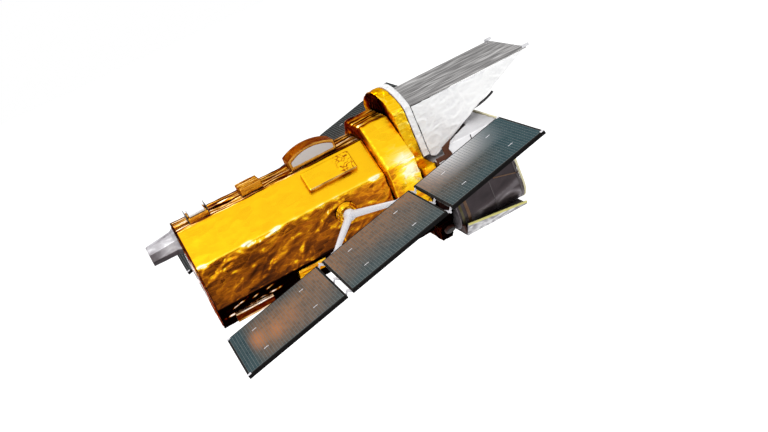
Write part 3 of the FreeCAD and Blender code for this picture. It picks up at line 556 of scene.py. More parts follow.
def collarFeel(point, normal):
    # painted shade and light: the tone follows which way each face looks
    look = facing(normal)
    tone = steps(look, [(-80, 0.02), (-40, 0.04), (-15, 0.26), (5, 0.40), (26, 0.62), (45, 0.71),
                        (62, 0.66), (75, 0.50), (88, 0.46)])
    if look > 75:  # top flat
        tone += 0.9 * (lengthRipple(point, point.y, 0.055) - 0.52)
    # painted light: the side flats brighten towards the deck
    if abs(look) < 30:
        tone += steps(point.x, [(2.60, 0.0), (2.95, 0.16)])
    # painted light and shade on the step: dark low down and at its top, with painted bounced light in
    # between
    if normal.x < -0.6:  # the step out from the bus
        tone = steps(point.z, [(-0.45, 0.05), (-0.05, 0.52), (0.60, 0.62), (0.75, 0.30)])
    away = (Vector((point.x, -abs(point.y), point.z)) - Vector(collarPaintedHighlight["spot"])).length
    tone += collarPaintedHighlight["lift"] * bell(away, collarPaintedHighlight["reach"])
    ruffle = steps(look, [(-60, 0.5), (0, 1.0), (30, 0.7), (50, 0.30), (80, 0.7)])
    return tone, ruffle, steps(look, [(70, 0.0), (84, 0.35)])


def deckFeel(point, normal):
    # painted shade: darker towards the bottom, held down on the front face and on the aft face away from
    # its sides
    tone = steps(point.z, [(-0.50, 0.00), (-0.25, 0.03), (0.02, 0.40), (0.20, 0.60), (0.60, 0.72),
                           (1.10, 0.72)])
    if normal.x > 0.7:
        tone = min(tone, 0.42)
    elif normal.x < -0.6:
        tone = min(tone, steps(abs(point.y), [(0.30, 0.08), (0.50, 0.60)]))
    return tone, 1.0 if abs(normal.x) < 0.7 else 0.8


def padFeel(point, normal):
    near = steps(point.x, [(2.13, 0.0), (2.20, 1.0)])
    if facing(normal) > 30:  # raised face, creased at its front end only
        # painted shade in thin creases near the front end
        line = max(0.0, 1.0 - 9.0 * abs(noise.noise(point * 21.0)))
        return 0.70 - 0.46 * line * near, 0.10 + 0.4 * near
    return 0.42 + 0.7 * (lengthRipple(point, point.z, 0.08, 5.0) - 0.5), 0.5, 0.6


lowPadHem = -0.648


def lowPadFeel(point, normal):
    near = steps(point.x, [(0.88, 0.0), (1.00, 1.0)])
    ripple = lengthRipple(point, 0.0, 1.0, 6.0) - 0.5
    # painted highlight on the upper edge, which looks up
    if facing(normal) > -20:  # light upper edge
        return 0.90 + 0.4 * ripple - 0.26 * near, 0.4, 0.95 - 0.85 * near
    if point.z < lowPadHem and near < 0.5:
        return 0.72 + 0.5 * ripple, 0.4, 0.9
    # painted shade on the face, which looks down; the pad near the front is lighter
    return 0.22 + 0.34 * near, 0.9, 0.1


def bootFeel(point, normal):
    return 0.56, 1.0


def boxFeel(point, normal):
    if normal.z > 0.7:
        return 0.46 + 0.5 * (lengthRipple(point, point.y, 0.05) - 0.4), 0.6, 0.7
    return 0.50, 0.5, 0.1


def coverFeel(point, normal):
    return (0.92, 0.5) if normal.z > 0.5 else (0.66, 0.6)


def archFeel(point, normal):
    return (0.40, 0.7, 0.6) if normal.z > 0.3 else (0.52, 0.5, 0.4)


hoodCreaseHighlight = {"start": (3.416, -0.670), "end": (4.193, -0.470), "reach": 0.045, "lift": 0.16,
              "above": 0.11, "below": 0.17}
hoodFlat = {"front": 3.5, "half": 1.04}


def hoodFeel(point, normal):
    # painted light: the top, and the aft part above the notch floor that lies in shade, are as pale as a
    # lit top
    paintedLitAft = point.z > 0.0 and point.x < hoodFlat["front"] and abs(point.y) < hoodFlat["half"]
    if normal.z > 0.6 or paintedLitAft:
        return 0.92, 0.8
    if abs(normal.x) > 0.7:
        return 0.42, 0.9
    # painted shade on the side, with a painted highlight along the long crease where its lower corner
    # begins
    (startX, startZ), (endX, endZ) = hoodCreaseHighlight["start"], hoodCreaseHighlight["end"]
    off = point.z - (startZ + (point.x - startX) * (endZ - startZ) / (endX - startX))
    tone = hoodCreaseHighlight["above"] if off > 0 else hoodCreaseHighlight["below"]
    tone += hoodCreaseHighlight["lift"] * bell(off, hoodCreaseHighlight["reach"])
    tone += 0.10 * noise.noise(Vector((point.x * 2.6, point.y, point.z * 2.0)))
    # painted highlights on crumple crests of the lower side, more towards the front
    if normal.x < 0.5 and abs(point.y) > 0.6:
        crease = ridge(Vector((point.x * 3.4, point.y, point.z * 4.6)) + Vector((4.0, 1.0, 6.0))) ** 2
        crease = 0.22 * crease + steps(point.x, [(3.72, 0.0), (4.10, 0.10)])
        tone += crease * steps(off, [(-0.04, 1.0), (0.04, 0.15)])
    # painted light: the side is as pale as the top near its upper edge
    return max(tone, steps(point.z, [(0.08, 0.0), (0.19, 0.86)])), 0.8


def hornFeel(point, normal):
    # painted shade: dark on the underside, lighter on top
    tone = steps(facing(normal), [(-70, 0.03), (-40, 0.10), (-20, 0.34), (0, 0.50), (25, 0.62),
                                  (80, 0.60)])
    return tone + 0.30 * (lengthRipple(point, point.y, 0.08, 5.0) - 0.5), 0.9


def maskFeel(point, normal):
    return 0.46 + 0.16 * noise.noise(point * 1.7), 1.0


def sideFeel(point, normal):
    return 0.90, steps(point.x, [(3.236, 0.0), (3.300, 1.0)])


def frameFeel(point, normal):
    return 0.88, 0.1 if abs(normal.x) > 0.5 else 1.0


def trayFeel(point, normal):
    if normal.z > 0.6:
        return 0.05, 0.5, 0.8
    return 0.28 + 0.6 * (lengthRipple(point, point.z, 0.022, 16.0) - 0.5), 1.0


def topPlateFeel(point, normal):
    if normal.z > 0.6:
        dash = 0.65 * lengthRipple(point, point.y, 0.016, 5.0)
        dash += 0.35 * lengthRipple(point, point.y + 3.0, 0.05)
        return 0.40 + 1.25 * (dash - 0.5), 0.8
    return 0.34, 0.5


foilDefaults = {"sides": ("",), "finish": "goldFoil", "stretch": (1.0, 1.0, 1.0), "turn": 0,
                "about": "Y"}
foilPieces = {
    "busBlanket": {"node": "bus_body", "voxel": 0.0150, "feel": busFeel, "depth": 0.052, "size": 0.190,
                   "stretch": (0.60, 1.0, 1.20), "turn": 24},
    "shadeTopFoil": {"node": "shade_top", "finish": "streakFoil", "voxel": 0.0118, "feel": topPlateFeel,
                     "depth": 0.006, "size": 0.060, "stretch": (0.10, 1.2, 1.0)},
    "collarBlanket": {"node": "collar", "voxel": 0.0160, "feel": collarFeel, "depth": 0.036, "size": 0.190,
                      "stretch": (0.9, 1.1, 1.2), "turn": 20, "about": "X"},
    "deckBlanket": {"node": "instrument_deck", "voxel": 0.0170, "feel": deckFeel, "depth": 0.026,
                    "size": 0.120, "stretch": (1.6, 1.0, 1.0), "turn": 30},
    "padBlanket": {"node": "side_pad_", "sides": bothHands, "voxel": 0.0100, "feel": padFeel,
                   "depth": 0.010, "size": 0.050, "turn": 15},
    "lowPadBlanket": {"node": "lower_pads_", "sides": bothHands, "slot": "amber_foil", "voxel": 0.0098,
                      "feel": lowPadFeel, "depth": 0.012, "size": 0.060, "stretch": (0.6, 1.3, 1.3),
                      "turn": 10},
    "bootFoil": {"node": "drive_boot_", "sides": bothHands, "voxel": 0.0052, "feel": bootFeel,
                 "depth": 0.012, "size": 0.040},
    "antennaFoil": {"node": "antenna_base", "voxel": 0.0078, "feel": boxFeel, "depth": 0.008,
                    "size": 0.060, "stretch": (0.7, 1.3, 1.3)},
    "antennaCoverFoil": {"node": "antenna_cover", "finish": "whiteFoil", "voxel": 0.0070,
                         "feel": coverFeel, "depth": 0.006, "size": 0.060},
    "topBoxFoil": {"node": "top_box", "voxel": 0.0085, "feel": boxFeel, "depth": 0.010, "size": 0.070,
                   "stretch": (0.7, 1.3, 1.3)},
    "archFoil": {"node": "arch_housing", "voxel": 0.0095, "feel": archFeel, "depth": 0.006,
                 "size": 0.070, "stretch": (0.8, 1.2, 1.2)},
    "hoodFoil": {"node": "hood_shell", "finish": "silverFoil", "voxel": 0.0170, "feel": hoodFeel,
                 "depth": 0.020, "size": 0.230, "stretch": (0.7, 1.1, 1.3), "turn": 28},
    "maskFoil": {"node": "mask_panel", "finish": "silverFoil", "voxel": 0.0120, "feel": maskFeel,
                 "depth": 0.022, "size": 0.150, "stretch": (1.0, 1.0, 1.2), "turn": 25, "about": "X"},
    "shadeWall": {"node": "shade_side_", "sides": bothHands, "finish": "whiteFoil", "voxel": 0.0108,
                  "feel": sideFeel, "depth": 0.018, "size": 0.115, "stretch": (0.8, 1.0, 1.2), "turn": 20},
    "shadeFrameFoil": {"node": "shade_frame", "finish": "whiteFoil", "voxel": 0.0120, "feel": frameFeel,
                       "depth": 0.022, "size": 0.080, "stretch": (1.3, 1.0, 1.0)},
    "trayFoil": {"node": "hood_tray", "finish": "whiteFoil", "voxel": 0.0118, "feel": trayFeel,
                 "depth": 0.006, "size": 0.120, "stretch": (0.5, 1.2, 1.2), "turn": 8},
    "hornFoil": {"node": "aft_horn", "finish": "silverFoil", "slot": "white_blanket", "voxel": 0.0061,
                 "feel": hornFeel, "depth": 0.002, "size": 0.080, "stretch": (0.6, 1.0, 1.0)},
}


def wrapNode(name, nodeName, piece):
    mesh = evenCopy(nodeName, piece["voxel"])
    crumple(mesh, piece, insideBox(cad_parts[nodeName].data))
    made = addPiece(name, mesh, "spacecraft", piece["finish"], smooth=True)
    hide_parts(nodeName)
    print("satellite:", name, len(mesh.polygons), "faces")


for name, choices in foilPieces.items():
    piece = {**foilDefaults, **choices}
    for side in piece["sides"]:
        wrapNode(name + side.capitalize(), piece["node"] + side, piece)
print("satellite: foil wrapped")


wingPlace = {"x": 1.997, "z": 0.051, "pitch": 12.3}
panelSizes = {"inner": 1.481, "width": 1.200, "length": 1.350, "face": 0.023, "back": -0.021}
panelStarts = {"mid": -0.675, "aft": -2.095, "forward": 0.745}
panelBodies = {"mid": "wing", "aft": "aft_panel", "forward": "forward_panel"}
wingTurn = Matrix.Rotation(math.radians(-wingPlace["pitch"]), 4, "Y")
wingSpace = Matrix.Translation((wingPlace["x"], 0, wingPlace["z"])) @ wingTurn
sideSpaces = {"right": wingSpace, "left": Matrix.Scale(-1, 4, (0, 1, 0)) @ wingSpace}


def wingPlaceNode(tree):
    # the wing's own flat space: X along it, Z out of the cell side
    turn = (0, math.radians(wingPlace["pitch"]), 0)
    return ownPlace(tree, turn=turn, shift=tuple(wingSpace.inverted().translation))


def hump(tree, value, middle, width):
    # 1 at the middle, easing to 0 at the given distance on both sides
    away = maths(tree, "ABSOLUTE", maths(tree, "SUBTRACT", value, middle))
    return spread(tree, away, 0.0, width, 1.0, 0.0, interpolation_type="SMOOTHSTEP")


boardLook = {"weave": 160.0, "dark": (0.004, 0.004, 0.004, 1), "light": (0.011, 0.010, 0.010, 1),
             "dust": (0.03, 0.028, 0.028), "bed": (0.17, 0.20, 0.205), "wornBed": (0.26, 0.28, 0.28),
             "faceFrom": 0.0212, "faceTo": 0.0222, "rough": 0.42, "wearSize": 5.0, "wear": 0.20,
             "bump": 0.10, "bumpDepth": 0.001}


def makePanelFinish():
    # woven dark board behind and at the edges, with a grey bed for the cells on the face
    look = boardLook
    material, tree, shader = newMaterial("panelBoard", Metallic=0.0, Specular_IOR_Level=0.02)
    place = wingPlaceNode(tree)
    height = addNode(tree, "ShaderNodeSeparateXYZ", {0: place}).outputs["Z"]
    weave = addNode(tree, "ShaderNodeTexChecker", {"Vector": place, "Scale": look["weave"],
                                                   "Color1": look["dark"], "Color2": look["light"]})
    wear = wearOf(tree, look["wearSize"], look["wear"], place)
    board = blendColours(tree, wear["Dust"], weave.outputs["Color"], look["dust"])
    bed = blendColours(tree, wear["Scuff"], look["bed"], look["wornBed"])
    upper = spread(tree, height, look["faceFrom"], look["faceTo"])
    feed(tree, shader.inputs, {"Base Color": blendColours(tree, upper, board, bed),
                               "Roughness": total(tree, wear["Dust"], look["rough"])})
    giveBump(tree, shader, weave.outputs["Fac"], look["bump"], look["bumpDepth"])
    return material


# bronze, copper and pale are colours of painted reflections on the cells, and shade is painted shade
cellTones = {"teal": (0.046, 0.086, 0.097), "deepTeal": (0.033, 0.068, 0.080),
             "bronze": (0.290, 0.165, 0.098), "deepBronze": (0.215, 0.130, 0.085),
             "copper": (0.560, 0.225, 0.090), "shade": (0.026, 0.012, 0.007),
             "pale": (0.700, 0.700, 0.720), "finger": (0.13, 0.145, 0.145)}
# from, to and the value at each end, for places along the wing or out from the bus, and for masks
cellRanges = {
    "busReflectionLean": (-1.2, -0.4, 0.45, 0.0), "busReflectionOut": (1.52, 2.50, 1.0, 0.10),
    "busReflectionFront": (0.95, 1.75, 1.3, 0.0), "busReflectionAft": (-1.94, -1.80, 0.05, 1.0),
    "tealCornerOut": (1.50, 2.00, 0.25, 1.0), "tealCornerAlong": (-1.25, -0.85, 0.0, 1.0),
    "cloudy": (0.30, 0.70, 0.55, 1.1), "leftShade": (0.0, 0.1, 1.0, 0.30),
    "paleReflectionOut": (1.46, 2.12, 1.05, 0.0), "fingerLine": (0.90, 0.99, 0.0, 0.16),
}
paintedCopperReflections = [
    {"along": -1.79, "reach": 0.15, "out": 2.08, "strength": 0.80},
    {"along": -1.56, "reach": 0.17, "out": 2.18, "strength": 0.70},
    {"along": -1.34, "reach": 0.18, "out": 2.14, "strength": 0.35},
]
copperReflectionWidth = 0.36
paintedPaleReflection = {"along": 1.34, "reach": 0.72}
cellSurface = {"cloudSize": 1.7, "fingers": 62.0, "rough": 0.28, "tintRough": 0.08, "bump": 0.05,
               "bumpDepth": 0.0004}


def makeCellFinish():
    # teal coated cells, with a painted bronze reflection of the gold bus on them towards the spacecraft
    material, tree, shader = newMaterial("solarCell", Metallic=0.0, Specular_IOR_Level=0.0,
                                         Coat_Weight=0.05, Coat_Roughness=0.12)
    place = wingPlaceNode(tree)
    parts = addNode(tree, "ShaderNodeSeparateXYZ", {0: place}).outputs
    along, out = parts["X"], maths(tree, "ABSOLUTE", parts["Y"])
    tint = ownValue(tree, "tint")
    cloud = clouds(tree, place, cellSurface["cloudSize"], detail=3.0)["Fac"]

    def ranged(value, label):
        return spread(tree, value, *cellRanges[label])

    teal = blendColours(tree, tint, cellTones["teal"], cellTones["deepTeal"])
    bronze = blendColours(tree, tint, cellTones["bronze"], cellTones["deepBronze"])
    # painted reflection: the mask where the cells show the gold bus in bronze
    away = maths(tree, "SUBTRACT", out, ranged(along, "busReflectionLean"))
    inner = maths(tree, "MAXIMUM", ranged(out, "tealCornerOut"), ranged(along, "tealCornerAlong"))
    near = product(tree, ranged(away, "busReflectionOut"), ranged(along, "busReflectionFront"),
                   ranged(along, "busReflectionAft"), inner, ranged(cloud, "cloudy"), clamp=True)
    # painted shade: 1 on the right wing, less on the left, which also dims the painted reflections there
    shaded = ranged(parts["Y"], "leftShade")
    base = blendColours(tree, product(tree, near, shaded), teal, bronze)
    # painted reflection: copper patches of the gold bus on the aft panel
    for look in paintedCopperReflections:
        patch = product(tree, hump(tree, along, look["along"], look["reach"]),
                        hump(tree, out, look["out"], copperReflectionWidth), shaded, look["strength"])
        base = blendColours(tree, patch, base, cellTones["copper"])
    # painted shade: the left wing's cells are darkened
    base = blendColours(tree, shaded, cellTones["shade"], base)
    # painted reflection: a pale patch of the white sunshade on the forward panel near the bus
    glow = product(tree, hump(tree, along, paintedPaleReflection["along"], paintedPaleReflection["reach"]),
                   ranged(out, "paleReflectionOut"), shaded, clamp=True)
    base = blendColours(tree, glow, base, cellTones["pale"])
    fingers = addNode(tree, "ShaderNodeTexWave", {"Vector": place, "Scale": cellSurface["fingers"],
                                                  "Distortion": 0.0}, bands_direction="X").outputs["Fac"]
    base = blendColours(tree, ranged(fingers, "fingerLine"), base, cellTones["finger"])
    rough = total(tree, product(tree, tint, cellSurface["tintRough"]), cellSurface["rough"])
    feed(tree, shader.inputs, {"Base Color": base, "Roughness": rough})
    giveBump(tree, shader, fingers, cellSurface["bump"], cellSurface["bumpDepth"])
    return material


finishes["panelBoard"] = makePanelFinish()
finishes["solarCell"] = makeCellFinish()


def onlyVerts(geometry):
    return [part for part in geometry if isinstance(part, bmesh.types.BMVert)]


def repeatAlong(work, count, step):
    first = work.verts[:] + work.edges[:] + work.faces[:]
    for turn in range(1, count):
        made = bmesh.ops.duplicate(work, geom=first)["geom"]
        bmesh.ops.translate(work, verts=onlyVerts(made), vec=Vector(step) * turn)


def softenEdges(work, edges, width, segments):
    # bevels in one fixed order and gives all points of the shape
    chosen = sorted(edges, key=lambda edge: [round(part, 6) for vert in edge.verts for part in vert.co])
    made = bmesh.ops.bevel(work, geom=chosen, offset=width, offset_type="OFFSET", segments=segments,
                           profile=0.5, affect="EDGES", material=-1)
    seeds = [vert for face in made["faces"] for vert in face.verts]
    return list({vert for seed in seeds for face in seed.link_faces for vert in face.verts})


def edgesOf(verts):
    return {edge for vert in verts for edge in vert.link_edges}


def heightOf(edge):
    return abs(edge.verts[0].co.z - edge.verts[1].co.z)


def addBlock(work, size, spot, soften=0.0, uprightOnly=False, turn=None):
    # a block with all its edges bevelled, or the upright ones only
    verts = bmesh.ops.create_cube(work, size=1.0)["verts"]
    bmesh.ops.scale(work, verts=verts, vec=size)
    if soften:
        edges = [edge for edge in edgesOf(verts) if heightOf(edge) > 0.0 or not uprightOnly]
        verts = softenEdges(work, edges, soften, 1)
    if turn is not None:
        bmesh.ops.transform(work, matrix=turn.to_4x4(), verts=verts)
    bmesh.ops.translate(work, verts=verts, vec=spot)
    return verts


def addDrum(work, radius, length, spot, axis="X", segments=6, soften=0.0):
    # a drum along X or Z, centred on the spot
    verts = bmesh.ops.create_cone(work, cap_ends=True, segments=segments, radius1=radius, radius2=radius,
                                  depth=length)["verts"]
    if soften:
        verts = softenEdges(work, [edge for edge in edgesOf(verts) if heightOf(edge) < mergeGap], soften, 2)
    turn = Matrix.Rotation(math.radians(90), 4, "Y") if axis == "X" else Matrix.Identity(4)
    bmesh.ops.transform(work, matrix=Matrix.Translation(spot) @ turn, verts=verts)
    return verts


def addTurned(work, outline, spot, turns=48, closed=True):
    # spins an outline of (along, out) pairs about the X axis through the spot
    old = set(work.verts)
    if closed:
        outline = outline + outline[:1]
    verts = [work.verts.new((along, out, 0.0)) for along, out in outline]
    edges = [work.edges.new(pair) for pair in zip(verts, verts[1:])]
    bmesh.ops.spin(work, geom=verts + edges, cent=(0, 0, 0), axis=(1, 0, 0), dvec=(0, 0, 0),
                   angle=math.tau, steps=turns, use_merge=True, use_duplicate=False)
    bmesh.ops.remove_doubles(work, verts=[vert for vert in work.verts if vert not in old], dist=1e-6)
    bmesh.ops.translate(work, verts=[vert for vert in work.verts if vert not in old], vec=spot)


def addScrews(work, spot, circle, look):
    # six-sided heads on a circle round the X axis through the spot
    for count in range(look["screws"]):
        way = math.radians(look.get("screwStart", 0.0)) + math.tau * count / look["screws"]
        place = Vector((look["screwAt"], circle * math.cos(way), circle * math.sin(way)))
        addDrum(work, look["screwRadius"], look["screwLength"], Vector(spot) + place,
                soften=look.get("screwSoften", 0.0))


def wingPiece(name, work, side, label, finish):
    name = f"{name}_{side}_{label}"
    bmesh.ops.transform(work, matrix=sideSpaces[side], verts=work.verts)
    return addPiece(name, fromBmesh(name, work), f"{side}_{panelBodies[label]}", finish)


cellLook = {"along": 36, "across": 20, "marginAlong": 0.028, "marginAcross": 0.030, "split": 0.0040,
            "gap": 0.0034, "thick": 0.0012, "crop": 0.005}


def makeCells(side, label):
    look, size = cellLook, panelSizes
    stepAlong = (size["length"] - 2 * look["marginAlong"]) / look["along"]
    stepAcross = (size["width"] - 2 * look["marginAcross"]) / look["across"]
    work = bmesh.new()
    start = panelStarts[label] + look["marginAlong"] + stepAlong / 2
    outer = -size["inner"] - look["marginAcross"] - stepAcross / 2
    addBlock(work, (stepAlong - look["split"], stepAcross - look["gap"], look["thick"]),
             (start, outer, size["face"] + look["thick"] / 2), look["crop"], uprightOnly=True)
    repeatAlong(work, look["across"], (0, -stepAcross, 0))
    repeatAlong(work, look["along"], (stepAlong, 0, 0))
    tints = []
    for face in work.faces:
        middle = face.calc_center_median()
        spot = Vector((round((middle.x - start) / stepAlong), round((middle.y - outer) / stepAcross), 3))
        tints.append(noise.cell(spot * 1.37 + Vector((0.5, 0.5, 0.5))))
    cells = wingPiece("cells", work, side, label, "solarCell")
    cells.data.attributes.new("tint", "FLOAT", "FACE").data.foreach_set("value", tints)


# blocks stand at every along and across from the panel's middle, height is from its face or back
panelTrims = {
    "marks": {"slot": "white_paint", "finish": "whitePaint", "blocks": [
        {"size": (0.062, 0.011, 0.004), "along": (-0.345, 0.345), "across": (-0.310, 0.310),
         "height": 0.002, "soften": 0.0015}]},
    "stiffeners": {"slot": "dark_plate", "finish": "darkPlate", "blocks": [
        {"size": (1.22, 0.050, 0.007), "along": (0.0,), "across": (-0.36, 0.0, 0.36),
         "height": -0.0035, "soften": 0.002},
        {"size": (0.042, 1.08, 0.0084), "along": (-0.52, 0.52), "across": (0.0,),
         "height": -0.0042, "soften": 0.002}]},
    "harness": {"slot": "gold_foil", "finish": "amberTape", "blocks": [
        {"size": (1.30, 0.016, 0.0035), "along": (0.0,), "across": (-0.20, 0.18),
         "height": -0.0018, "soften": 0.001},
        {"size": (0.014, 0.030, 0.0050), "along": [0.15 * count for count in range(-4, 5)],
         "across": (-0.20, 0.18), "height": -0.0025, "soften": 0.001}]},
}
panelCups = {"along": 0.430, "across": 0.455, "radius": 0.017, "height": 0.007, "soften": 0.002,
             "boltRadius": 0.00765, "boltHeight": 0.0091}
panelTips = {"inset": 0.022, "length": 0.048, "width": 0.042, "proud": 0.003, "soften": 0.003}


def makePanelTrim(side, label):
    # light cell-test marks on the face, stiffeners, wiring and hold-down cups behind, blocks at the tips
    size = panelSizes
    middle, outer = panelStarts[label] + size["length"] / 2, -size["inner"] - size["width"] / 2
    face, back = size["face"], size["back"]
    for name, trim in panelTrims.items():
        work = bmesh.new()
        for look in trim["blocks"]:
            level = look["height"] + (face if look["height"] > 0 else back)
            for along in look["along"]:
                for across in look["across"]:
                    addBlock(work, look["size"], (middle + along, outer + across, level), look["soften"])
        wingPiece(name, work, side, label, trim["finish"])
    look = panelCups
    work = bmesh.new()
    for along in (-look["along"], look["along"]):
        for across in (-look["across"], look["across"]):
            spot = (middle + along, outer + across, back - look["height"] / 2)
            addDrum(work, look["radius"], look["height"], spot, "Z", 20, look["soften"])
            addDrum(work, look["boltRadius"], look["boltHeight"], spot, "Z")
    wingPiece("cups", work, side, label, "machinedMetal")
    if label == "mid":
        return
    look = panelTips
    tip = panelStarts[label] + (size["length"] - look["inset"] if label == "forward" else look["inset"])
    work = bmesh.new()
    for edge in (look["inset"], size["width"] - look["inset"]):
        addBlock(work, (look["length"], look["width"], face - back + 2 * look["proud"]),
                 (tip, -size["inner"] - edge, (face + back) / 2), look["soften"])
    wingPiece("tips", work, side, label, "whitePaint")


for side in bothHands:
    for label in panelStarts:
        makeCells(side, label)
        makePanelTrim(side, label)
print("satellite: panels dressed")


tubes = {
    "wide": {"spot": (0.0, -0.300, 0.622), "bore": 0.220, "floor": 3.287, "mouth": 3.657},
    "slim": {"spot": (0.0, 0.300, 0.622), "bore": 0.172, "floor": 3.287, "mouth": 3.657},
}
boreGap = 0.0006  # between a fitted piece and its tube's bore
baffles = {"count": 5, "start": 0.070, "step": 0.062, "depth": 0.026, "thick": 0.0025}


def makeBaffles(name, tube):
    work = bmesh.new()
    outer, inner, half = tube["bore"] - boreGap, tube["bore"] - baffles["depth"], baffles["thick"] / 2
    for count in range(baffles["count"]):
        at = tube["floor"] + baffles["start"] + baffles["step"] * count
        addTurned(work, [(at - half, outer), (at - half, inner), (at + half, inner), (at + half, outer)],
                  tube["spot"])
    shipPiece(f"baffles_{name}", work, "blackPaint")


mouthRing = {"gap": 0.0005, "width": 0.0118, "height": 0.007, "soften": 0.002, "turns": 72,
             "screws": 16, "screwRadius": 0.0032, "screwLength": 0.004, "screwAt": 0.008}


def makeMouthRing(name, tube):
    look, at = mouthRing, tube["mouth"]
    inner, outer = tube["bore"] + look["gap"], tube["bore"] + look["width"]
    top, side = at + look["height"], at + look["height"] - look["soften"]
    work = bmesh.new()
    addTurned(work, [(at, inner), (side, inner), (top, inner + look["soften"]),
                     (top, outer - look["soften"]), (side, outer), (at, outer)],
              tube["spot"], look["turns"])
    addScrews(work, Vector(tube["spot"]) + Vector((at, 0, 0)), 0.5 * (inner + outer), look)
    shipPiece(f"mouthRing_{name}", work, "machinedMetal")


wideOptics = {"mirrorAt": 0.012, "mirror": 0.196, "hole": 0.036, "bowl": 0.034, "rim": 0.003,
              "edge": 0.004, "behind": 0.008, "points": 12, "neckFrom": -0.006, "neckTo": 0.120,
              "neckGap": 0.001, "neckTaper": 0.011, "neckWall": 0.003, "hub": 0.046,
              "hubLength": 0.070, "hubSoften": 0.004, "hubAt": 3.598, "vanes": 4, "vaneThick": 0.004,
              "vaneDepth": 0.032, "vaneSoften": 0.0012, "vaneSink": 0.004}


def makeWideOptics():
    look, tube = wideOptics, tubes["wide"]
    at = tube["floor"] + look["mirrorAt"]
    outline = []
    for count in range(look["points"] + 1):
        out = look["hole"] + (look["mirror"] - look["hole"]) * count / look["points"]
        outline.append((at + look["bowl"] * (out / look["mirror"]) ** 2, out))
    rim = look["mirror"] + look["rim"]
    outline += [(at + look["bowl"] - look["edge"], rim), (at - look["behind"], rim),
                (at - look["behind"], look["hole"])]
    work = bmesh.new()
    addTurned(work, outline, tube["spot"], 64)
    shipPiece("wideMirror", work, "mirrorGlass")
    work = bmesh.new()
    low, high, wall = at + look["neckFrom"], at + look["neckTo"], look["neckWall"]
    out = look["hole"] - look["neckGap"]
    tip = out - look["neckTaper"]
    addTurned(work, [(low, out), (high, tip), (high, tip - wall), (low, out - wall)], tube["spot"], 32)
    middle = Vector(tube["spot"]) + Vector((look["hubAt"], 0, 0))
    addDrum(work, look["hub"], look["hubLength"], middle, "X", 32, look["hubSoften"])
    reach = tube["bore"] - look["hub"] + look["vaneSink"]
    for count in range(look["vanes"]):
        turn = Matrix.Rotation(math.tau * (count + 0.5) / look["vanes"], 3, "X")
        spot = middle + turn @ Vector((0, look["hub"] + reach / 2 - look["vaneSink"], 0))
        addBlock(work, (look["vaneDepth"], reach, look["vaneThick"]), spot, look["vaneSoften"], turn=turn)
    shipPiece("wideSpider", work, "blackPaint")


slimOptics = {"lens": 0.118, "bulge": 0.020, "lensAt": 3.520, "edge": 0.010, "points": 10,
              "cell": 0.150, "cellBack": 0.014, "cellShoulder": 0.002, "cellFront": 0.010,
              "cellSoften": 0.004, "screws": 12, "screwRadius": 0.004, "screwLength": 0.005,
              "screwAt": 0.012}


def makeSlimOptics():
    look, tube = slimOptics, tubes["slim"]
    at, rim, bore = look["lensAt"], look["lens"], tube["bore"] - boreGap
    shares = [count / look["points"] for count in range(look["points"] + 1)]
    outline = [(at + look["bulge"] * (1 - share ** 2), rim * share) for share in shares]
    work = bmesh.new()
    addTurned(work, outline + [(at - look["edge"], rim), (at - look["edge"], 0.0)], tube["spot"],
              closed=False)
    shipPiece("slimLens", work, "lensGlass", smooth=True)
    work = bmesh.new()
    back, front, soften = at - look["cellBack"], at + look["cellFront"], look["cellSoften"]
    addTurned(work, [(back, rim), (front - soften, rim), (front, rim + soften), (front, look["cell"]),
                     (at + look["cellShoulder"], bore), (back, bore)], tube["spot"], 64)
    addScrews(work, Vector(tube["spot"]) + Vector((at, 0, 0)), 0.5 * (rim + look["cell"]), look)
    shipPiece("slimLensCell", work, "darkPlate")


lensLook = {"blue": (0.010, 0.016, 0.040), "violet": (0.030, 0.012, 0.045), "dust": (0.10, 0.10, 0.11),
            "tintSize": 5.0, "rough": 0.05, "wearSize": 9.0, "wear": 0.10}


def makeLensFinish():
    look = lensLook
    material, tree, shader = newMaterial("lensGlass", Metallic=0.0, IOR=1.6, Coat_Weight=1.0,
                                         Coat_Roughness=0.02)
    wear = wearOf(tree, look["wearSize"], look["wear"])
    cloud = clouds(tree, ownPlace(tree), look["tintSize"], detail=1.0)["Fac"]
    tint = blendColours(tree, cloud, look["blue"], look["violet"])
    feed(tree, shader.inputs, {"Base Color": blendColours(tree, wear["Dust"], tint, look["dust"]),
                               "Roughness": total(tree, wear["Dust"], look["rough"])})
    return material


finishes["lensGlass"] = makeLensFinish()
for name, tube in tubes.items():
    makeBaffles(name, tube)
    makeMouthRing(name, tube)
makeWideOptics()
makeSlimOptics()
print("satellite: telescopes fitted")


hoodSizes = {"half": 1.060, "low": 0.832, "corner": 0.310}
hoodBands = {
    "bandAft": {"along": 3.276, "width": 0.034, "top": 0.060, "sweep": 52, "finish": "oliveBand"},
    "bandFore": {"along": 3.362, "width": 0.042, "top": 0.060, "sweep": 52, "finish": "brownBand"},
    "bandSeam": {"along": 3.760, "width": 0.012, "top": 0.340, "sweep": 60, "finish": "seamTape"},
    "bandRim": {"along": 4.150, "width": 0.022, "top": 0.340, "sweep": 60, "finish": "seamTape"},
}
bandThick = 0.0016
sideStrap = {"length": 0.350, "width": 0.016, "along": 4.000, "height": -0.362, "lean": 14.5,
             "soften": 0.0006}


def bothSides(work):
    # adds the mirror image of all that is in the work, across the middle of the spacecraft
    made = bmesh.ops.duplicate(work, geom=work.verts[:] + work.edges[:] + work.faces[:])["geom"]
    bmesh.ops.scale(work, verts=onlyVerts(made), vec=(1, -1, 1))
    return work


